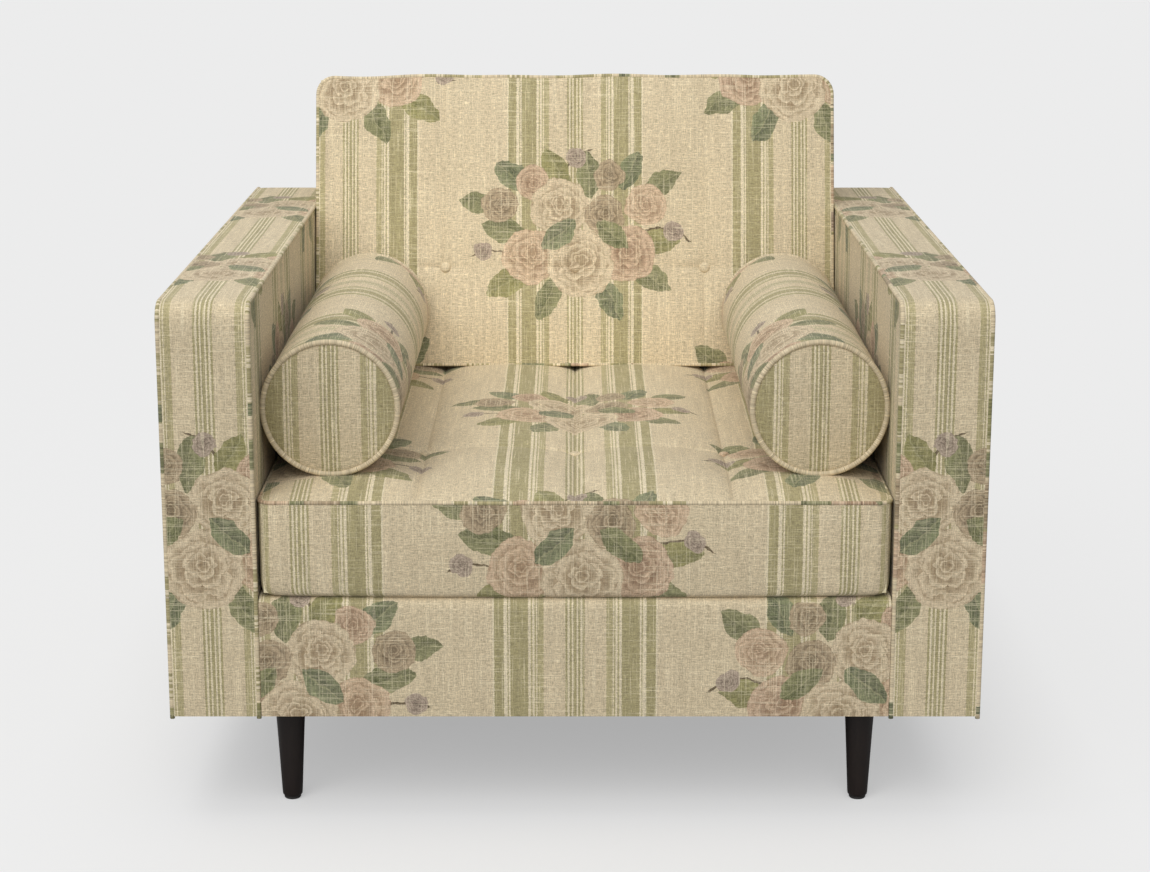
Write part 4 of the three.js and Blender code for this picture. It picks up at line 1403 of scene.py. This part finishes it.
def bolster_cover(side, label):
    """One bolster's cover."""
    outline = [(radius, depth, 0) for radius, depth in bolster_outline()]
    bm = spun(outline, (0, 1, 0), bolster_turns)
    cloth = bm.loops.layers.uv.new("cloth")
    crease = bm.edges.layers.float.new("crease_edge")
    for face in bm.faces:
        face.smooth = True
        middle = face.calc_center_median()
        turns = [math.atan2(loop.vert.co.z, loop.vert.co.x * side) for loop in face.loops]
        wraps = max(turns) - min(turns) > math.pi
        for loop, turn in zip(face.loops, turns):
            spot = loop.vert.co
            # The front end takes the darker end linen, which is painted shade.
            if middle.y < seam_front:
                face.material_index = 1
                loop[cloth].uv = (spot.x, spot.z + end_roll)
            elif middle.y > seam_rear:
                loop[cloth].uv = (-spot.x, spot.z)
            else:
                around = turn + (TAU if wraps and turn < 0 else 0)
                across = around * bolster_radius
                loop[cloth].uv = (spot.y + tube_roll[0], across + tube_roll[1])
    for edge in bm.edges:
        for seam in (seam_front, seam_rear):
            if all(abs(vert.co.y - seam) < 10 * TINY for vert in edge.verts):
                edge.smooth = False
                edge[crease] = 1
    sewn = []
    for vert in bm.verts:
        spot = vert.co
        depth = spot.y
        along = min(depth, bolster_length - depth)
        radial = math.hypot(spot.x, spot.z)
        if 12 * MM < along:
            turn = math.atan2(spot.z, spot.x)
            gather = math.cos(17 * turn + 3 * math.sin(2 * turn)) * math.exp(-(along - 0.012) / 0.03)
            fold = 0.35 * MM * gather + 0.7 * MM * ripple(spot.x, spot.y, spot.z, 0.09, 31 + side)
            spot.x *= 1 + fold / radial
            spot.z *= 1 + fold / radial
        off_seam = min(abs(depth - seam_front), abs(depth - seam_rear))
        by_seam = off_seam < 5 * MM and radial > bolster_radius - 5 * MM
        sewn.append(by_seam or along < 3 * MM)
    bmesh.ops.translate(bm, vec=(side * bolster_x, bolster_front, bolster_z), verts=bm.verts)
    for vert in bm.verts:
        vert.co = clear_of_seat(vert.co)
    nodes = [f"bolster_cover_{label}"]
    name = f"bolster_cloth_{label}"
    piece = finish_piece(bm, name, printed_linen, nodes, levels=1)
    # The second material, for the front end, is the darker linen: painted shade.
    piece.data.materials.append(shaded_end_linen)
    return piece, sewn


ring_points = 96
ring_thickness = 3.5 * MM
ring_places = {"front": 2.4 * MM, "rear": bolster_length - piping_radius}
for label, side in SIDES:
    bolster, bolster_sewn = bolster_cover(side, label)
    fill_cover(bolster, bolster_sewn, bolster_cap, clear_of_seat)
    for end, depth in ring_places.items():
        middle = Vector((side * bolster_x, bolster_front + depth, bolster_z))
        angles = [i / ring_points * TAU for i in range(ring_points)]
        turned = [(math.cos(a) * ring_radius, 0, math.sin(a) * ring_radius) for a in angles]
        route = [middle + Vector(spot) for spot in turned]
        bm = sweep(route, Vector((0, 1, 0)), ring_thickness, closed=True, start=0.04)
        nodes = [f"bolster_piping_{label}"] if end == "front" else []
        # Each ring takes the darker ring linen, which is painted shade.
        finish_piece(bm, f"bolster_welt_{label}_{end}", shaded_ring_linen, nodes)
    print(bolster.name, len(bolster.data.polygons), "faces")

# %% [markdown]
# Wood grain is long, thin streaks with slow waves in them. Noise in the chair's own space,
# drawn out along the board, gives both and needs no unwrapping. One group makes it for the dark
# stained legs and for the pale beech frame, each with its own colours.

# %% Wood group
wood, wood_in, wood_out = new_group(
    "wood grain",
    [("Place", VECTOR), ("Dark", COLOUR), ("Light", COLOUR), ("Streaks", VALUE)],
    [("Color", COLOUR), ("Rough", VALUE), ("Height", VALUE)],
)
grain_draw = (1, 1, 0.06)
grain_place = vector_calc(wood, "MULTIPLY", wood_in.outputs["Place"], grain_draw)
slow = speckle(wood, grain_place, 34, 2, kind="3D")
fine_grain = speckle(wood, grain_place, wood_in.outputs["Streaks"], 4, 0.6, kind="3D")
grain = calc(wood, "MULTIPLY_ADD", fine_grain, 0.9, -0.25)
grain = calc(wood, "MULTIPLY_ADD", slow, 0.6, grain, clamp=True)
fill_sockets(wood, wood_out, {
    "Color": mixed(wood, grain, wood_in.outputs["Dark"], wood_in.outputs["Light"]),
    "Rough": calc(wood, "MULTIPLY_ADD", fine_grain, 0.25, 0.26),
    "Height": fine_grain,
})


def wood_material(name, dark, light, streaks, coat, turn=(0, 0, 0)):
    """Wood that reads Object coordinates, with its grain along Z before it is turned."""
    material, tree, shader = new_material(name)
    sockets = {"Vector": object_place(tree), "Rotation": turn}
    turned = add_node(tree, "ShaderNodeMapping", sockets).outputs[0]
    sockets = {"Place": turned, "Dark": dark, "Light": light, "Streaks": streaks}
    grain = use_group(tree, wood, sockets)
    fill_sockets(tree, shader, {
        "Base Color": grain.outputs["Color"],
        "Roughness": grain.outputs["Rough"],
        "Normal": bumped(tree, grain.outputs["Height"], 0.15, 0.4 * MM),
        "Coat Weight": coat,
        "Coat Roughness": 0.25,
    })
    return material


quarter = math.pi / 2
beech_look = (paint(176, 138, 92), paint(214, 182, 136), 260, 0)
leg_wood = wood_material("stained_leg_wood", paint(19, 12, 10), paint(36, 24, 18), 420, 0.12)
beech_across = wood_material("beech_across", *beech_look, (0, quarter, 0))
beech_deep = wood_material("beech_deep", *beech_look, (quarter, 0, 0))
beech_upright = wood_material("beech_upright", *beech_look)
print("four wood materials")

# %% [markdown]
# Everything that is neither printed nor wooden is a two-tone material: foam, steel, jute,
# the ticking on the seat deck and the black cloth under the chair.

# %% Plain materials
def plain_material(name, dark, light, scale, stretch, rough, metal=0.0, height=0.3):
    """A two-tone material from stretched noise in Object coordinates."""
    material, tree, shader = new_material(name)
    place = object_place(tree)
    first = speckle(tree, vector_calc(tree, "MULTIPLY", place, stretch), scale, 2, kind="3D")
    turned = (stretch[1], stretch[2], stretch[0])
    second = speckle(tree, vector_calc(tree, "MULTIPLY", place, turned), scale, 2, kind="3D")
    tone = calc(tree, "MULTIPLY", calc(tree, "ADD", first, second), 0.5)
    fill_sockets(tree, shader, {
        "Base Color": ramp(tree, tone, [(0.3, paint(*dark)), (0.7, paint(*light))]),
        "Roughness": calc(tree, "MULTIPLY_ADD", tone, 0.2, rough),
        "Normal": bumped(tree, tone, height, 0.5 * MM),
        "Metallic": metal,
    })
    return material


no_stretch = (1, 1, 1)
foam = plain_material("cushion_foam", (220, 208, 168), (238, 228, 196), 420, no_stretch, 0.85)
steel = plain_material("spring_steel", (92, 94, 98), (138, 140, 144), 300, no_stretch, 0.25, 0.9, 0.1)
jute = plain_material("jute_webbing", (112, 92, 60), (168, 146, 104), 30, (30, 1, 30), 0.85)
ticking = plain_material("deck_ticking", (182, 170, 142), (208, 196, 168), 30, (30, 2, 1), 0.85)
dust_cloth = plain_material("black_dust_cloth", (26, 26, 27), (46, 46, 48), 30, (30, 3, 1), 0.9)
print("five plain materials")

# %% [markdown]
# The legs are turned on a lathe: a straight taper with an eased edge at the top and the foot.
# The outline is spun about the leg's axis. A nylon glide is pinned into each foot.

# %% Legs
leg_x = 359 * MM
leg_y = 440.5 * MM

# Radius and height along each half outline, in mm
leg_outline = [
    (0, 4.3), (9.0, 4.3), (11.4, 4.7), (12.3, 6.0), (12.7, 8.5), (13.6, 26), (15.3, 60), (17.2, 96),
    (18.9, 124), (19.4, 130.5), (19.2, 132.0), (18.4, 132.7), (0, 132.7),
]
glide_outline = [(0, 0), (7.6, 0), (9.6, 0.5), (10.5, 1.6), (10.5, 4.0), (0, 4.0)]
sharp_angle = 0.6


def turn_on_lathe(outline, x, y, steps):
    """Spins an outline of radius and height, in millimetres, about an upright axis."""
    bm = spun([(radius * MM, 0, height * MM) for radius, height in outline], (0, 0, 1), steps)
    for face in bm.faces:
        face.smooth = True
    for edge in bm.edges:
        if len(edge.link_faces) == 2 and edge.calc_face_angle() > sharp_angle:
            edge.smooth = False
    bmesh.ops.translate(bm, vec=(x, y, 0), verts=bm.verts)
    return bm


def nylon_material():
    """Dark moulded nylon with a faint satin mottle."""
    material, tree, shader = new_material("glide_nylon")
    mottle = speckle(tree, object_place(tree), 900, 2, kind="3D")
    fill_sockets(tree, shader, {
        "Base Color": ramp(tree, mottle, [(0, paint(34, 33, 32)), (1, paint(52, 50, 48))]),
        "Roughness": calc(tree, "MULTIPLY_ADD", mottle, 0.2, 0.42),
    })
    return material


# The bolt's thread is drawn as rings, each a pitch above the last
thread_pitch = 1.75
thread_rings = 18
bolt_outline = [(0, 132.9), (3.2, 132.9)]
for turn in range(thread_rings):
    bolt_outline += [(4.0, 133.8 + turn * thread_pitch), (3.2, 134.7 + turn * thread_pitch)]
bolt_outline += [(2.4, 165.8), (0, 166.5)]
glide_nylon = nylon_material()
for end, y in (("front", -leg_y), ("rear", leg_y)):
    for label, x in (("left", -leg_x), ("right", leg_x)):
        corner = f"{end}_{label}"
        bolt = turn_on_lathe(bolt_outline, x, y, 24)
        finish_piece(bolt, f"hanger_bolt_{corner}", steel, [])
        leg = turn_on_lathe(leg_outline, x, y, 56)
        finish_piece(leg, f"turned_leg_{corner}", leg_wood, [f"leg_{corner}"])
        glide = turn_on_lathe(glide_outline, x, y, 40)
        nodes = [f"leg_glide_{corner}"]
        finish_piece(glide, f"glide_{corner}", glide_nylon, nodes)
print("four legs", leg_outline[-1][1], "mm tall")

# %% [markdown]
# The seat deck is a thin stuffed pad in plain ticking, stretched over the springs.
# It is flat on top, where the cushion lies. It has no seams, so its sides are all one panel.

# %% Seat deck
deck_half = 387.6 * MM
deck_front = -439.7 * MM
deck_rear = inside_back(deck_bottom) - 0.6 * MM
deck_edge = 5 * MM
xs = ruled(-deck_half, deck_half, 24 * MM)
ys = ruled(deck_front, deck_rear, 24 * MM)
zs = ruled(deck_bottom, deck_height, 4 * MM, (1.5 * MM, 3 * MM))
bm = ruled_box([xs, ys, zs])
sides = (LEFT, RIGHT, FRONT, REAR, BOTTOM, TOP)
lay_cloth(bm, {side: (side[0], lambda co: (co.x, co.y)) for side in sides})
deck_middle = (deck_front + deck_rear) / 2
deck_level = (deck_bottom + deck_height) / 2
half_depth = (deck_rear - deck_front) / 2
half_height = (deck_height - deck_bottom) / 2
for edge in bm.edges:
    edge.smooth = True
for vert in bm.verts:
    x, y, z = vert.co
    x, rise = round_off(x, z - deck_level, deck_half, half_height, deck_edge)
    y, rise = round_off(y - deck_middle, rise, half_depth, half_height, deck_edge)
    if vert.co.z < deck_bottom + TINY:
        sag = soft((deck_half - abs(x)) / 0.03) * (0.5 + 0.5 * ripple(x, y, 0, 0.08, 51))
        rise += 1.2 * MM * sag
    vert.co = (x, y + deck_middle, rise + deck_level)
deck = finish_piece(bm, "seat_deck_pad", ticking, ["seat_deck"])
print("seat deck", len(deck.data.polygons), "faces")

# %% [markdown]
# The dust cover is one sheet of thin black cloth under the frame. It is stretched and stapled
# all round, has a hole for each leg's bolt, and hangs a few millimetres in the middle.

# %% Dust cover
dust_x = 485.5 * MM
dust_y = 496.0 * MM
dust_level = leg_height + 0.6 * MM
dust_sag = 6 * MM
dust_run = 0.25
dust_thickness = 0.6 * MM
board_x = 455 * MM
board_y = 415 * MM
hole_radius = 4.6 * MM
hole_square = 6 * MM


def ruled_round_holes(half, hole):
    """Lines from one side to the other, with four close lines at each pair of holes."""
    near = [hole - hole_square, hole - 2 * MM, hole + 2 * MM, hole + hole_square]
    middle = ruled(-near[0], near[0], 18 * MM, (8 * MM,))
    outer = [near[-1] + (half - near[-1]) * i / 6 for i in range(1, 7)]
    return [-place for place in reversed(near[1:] + outer)] + middle + near[1:] + outer


xs = ruled_round_holes(dust_x, leg_x)
ys = ruled_round_holes(dust_y, leg_y)
bm = bmesh.new()
cloth = bm.loops.layers.uv.new("cloth")
bmesh.ops.create_grid(bm, x_segments=len(xs) - 1, y_segments=len(ys) - 1, size=0.5)
for vert in bm.verts:
    column_at = round((vert.co.x + 0.5) * (len(xs) - 1))
    row_at = round((vert.co.y + 0.5) * (len(ys) - 1))
    vert.co = (xs[column_at], ys[row_at], dust_level)
cut_out = []
for face in bm.faces:
    middle = face.calc_center_median()
    if max(abs(abs(middle.x) - leg_x), abs(abs(middle.y) - leg_y)) < hole_square:
        cut_out.append(face)
bmesh.ops.delete(bm, geom=cut_out, context="FACES")
for vert in bm.verts:
    hole_x = math.copysign(leg_x, vert.co.x)
    hole_y = math.copysign(leg_y, vert.co.y)
    hole = Vector((hole_x, hole_y, dust_level))
    away = vert.co - hole
    if away.length < 1.5 * hole_square:
        vert.co = hole + away.normalized() * hole_radius
    from_board = min(board_x - abs(vert.co.x), board_y - abs(vert.co.y))
    hang = soft(from_board / dust_run) ** 2
    vert.co.z -= dust_sag * hang * (1 + 0.15 * ripple(vert.co.x, vert.co.y, 0, 0.2, 53))
for face in bm.faces:
    face.smooth = True
    for loop in face.loops:
        loop[cloth].uv = loop.vert.co.xy
dust = finish_piece(bm, "dust_cloth", dust_cloth, ["dust_cover"])
thicken = dust.modifiers.new("thickness", "SOLIDIFY")
thicken.thickness = dust_thickness
thicken.offset = 0
print("dust cover", len(dust.data.polygons), "faces")

# %% [markdown]
# Wire staples hold the sheet to the boards, all round and a little inside its edge.
# Each is one long thin block with its edges bevelled, and all of them make one piece.

# %% Staples
staple_gap = 78 * MM
staple_margin = 20 * MM
staple_inset = 10 * MM
staple_length = 10 * MM
staple_width = 0.9 * MM
staple_height = 0.6 * MM
staple_level = dust_level - 0.55 * MM
staple_edge = 0.2 * MM
staple_spots = []
for half_run, half_span, turned in ((dust_x, dust_y, False), (dust_y, dust_x, True)):
    reach = half_run - staple_margin
    count = round(2 * reach / staple_gap)
    for i in range(count + 1):
        along = -reach + 2 * reach * i / count
        for side in (-1, 1):
            across = side * (half_span - staple_inset)
            staple_spots.append((across, along, True) if turned else (along, across, False))
bm = bmesh.new()
for x, y, turned in staple_spots:
    made_here = bmesh.ops.create_cube(bm, size=1)["verts"]
    flat = (staple_width, staple_length) if turned else (staple_length, staple_width)
    bmesh.ops.scale(bm, vec=(*flat, staple_height), verts=made_here)
    bmesh.ops.translate(bm, vec=(x, y, staple_level), verts=made_here)
bmesh.ops.bevel(
    bm,
    geom=bm.edges[:],
    offset=staple_edge,
    segments=2,
    profile=0.5,
    affect="EDGES",
    material=-1,
)
staples = finish_piece(bm, "dust_cover_staples", steel, [])
print(len(staple_spots), "staples")

# %% [markdown]
# What the covers hide keeps its solid shape and gets a finish of its own:
# beech boards, steel springs, jute webbing and foam.

# %% Hidden parts
finishes = [
    ("cushion_core", foam),
    ("bolster_core", foam),
    ("seat_spring", steel),
    ("webbing", jute),
    ("side_rail", beech_deep),
    ("arm_top_rail", beech_deep),
    ("post", beech_upright),
    ("side_frame", beech_upright),
    ("rail", beech_across),
    ("corner_block", beech_across),
]
hidden = 0
for name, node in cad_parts.items():
    if node.hide_render:
        continue
    material = next(finish for word, finish in finishes if word in name)
    for place in node.material_slots:
        place.material = material
    hidden += 1
print(hidden, "hidden parts finished")

# %% [markdown]
# The floor is one pale sheet that fills the picture and keeps the chair's shadow.
# A brighter lamp would bleach the cloth, so the floor's paleness comes from its own material.
# To the camera it glows more and keeps less shadow away from the chair. To other rays it is grey.

# %% Floor
floor_half = 60
near_chair = (0.45, 0.85, 0)
fade_width = 0.25
floor_bm = bmesh.new()
bmesh.ops.create_grid(floor_bm, x_segments=2, y_segments=2, size=floor_half)
floor_mesh = bpy.data.meshes.new("studio_floor")
floor_bm.to_mesh(floor_mesh)
floor_bm.free()
floor = bpy.data.objects.new("studio_floor", floor_mesh)
scene.collection.objects.link(floor)
floor_material, tree, shader = new_material("studio_floor")
seen = add_node(tree, "ShaderNodeLightPath", {}).outputs["Is Camera Ray"]
beyond = vector_calc(tree, "ABSOLUTE", object_place(tree))
beyond = vector_calc(tree, "SUBTRACT", beyond, near_chair)
beyond = vector_calc(tree, "MAXIMUM", beyond, (0, 0, 0))
away = vector_calc(tree, "DISTANCE", beyond, (0, 0, 0))
away = calc(tree, "MULTIPLY", away, 1 / fade_width, clamp=True)
seen_colour = mixed(tree, away, grey(0.50), grey(0.15))
seen_glow = mixed(tree, away, grey(0.39), grey(0.715))
fill_sockets(tree, shader, {
    "Base Color": mixed(tree, seen, grey(0.32), seen_colour),
    "Emission Color": mixed(tree, seen, grey(0), seen_glow),
    "Emission Strength": 1,
    "Roughness": 1,
    "Specular IOR Level": 0,
})
floor_mesh.materials.append(floor_material)
print("floor", 2 * floor_half, "m across")

# %% [markdown]
# In a photographer's studio large soft boxes light the cloth from the front and above.
# A pale world fills the shadows, and a very broad sun from above the camera models the cushions.
# Two small lamps help: a softbox over the left arm, and a spot on the seat and the back cushion.

# %% Lights
world = bpy.data.worlds.new("studio_world")
scene.world = world
world.use_nodes = True
sky = world.node_tree.nodes["Background"]
fill_sockets(world.node_tree, sky, {"Color": (0.97, 0.98, 1, 1), "Strength": 0.52})
warm_white = (1, 0.985, 0.95)


def stand_light(data, place, target):
    """Puts a light in its place, turned to a spot on the chair."""
    light = bpy.data.objects.new(data.name, data)
    light.location = place
    aim = Vector(target) - light.location
    light.rotation_euler = aim.to_track_quat("-Z", "Y").to_euler()
    scene.collection.objects.link(light)
    return light


sun_data = bpy.data.lights.new("soft_key", "SUN")
sun_data.energy = 1.62
sun_data.angle = math.radians(60)
sun_data.color = (1, 0.99, 0.97)
sun = bpy.data.objects.new("soft_key", sun_data)
sun.rotation_euler = (math.radians(52), 0, math.radians(-18))
scene.collection.objects.link(sun)

softbox_data = bpy.data.lights.new("overhead_softbox", "AREA")
softbox_data.shape = "RECTANGLE"
softbox_data.size = 1.0
softbox_data.size_y = 0.7
softbox_data.energy = 5.2
softbox_data.color = warm_white
softbox = stand_light(softbox_data, (-0.75, -0.6, 2.05), (0.05, 0.05, 0.5))

spot_data = bpy.data.lights.new("back_spot", "SPOT")
spot_data.energy = 118
spot_data.spot_size = math.radians(11)
spot_data.spot_blend = 1
spot_data.shadow_soft_size = 0.3
spot_data.color = warm_white
spot = stand_light(spot_data, (0.55, -2.1, 2.25), (-0.12, 0.16, 0.46))
scene.view_settings.view_transform = "Standard"
print("lights:", sun.name, softbox.name, spot.name)
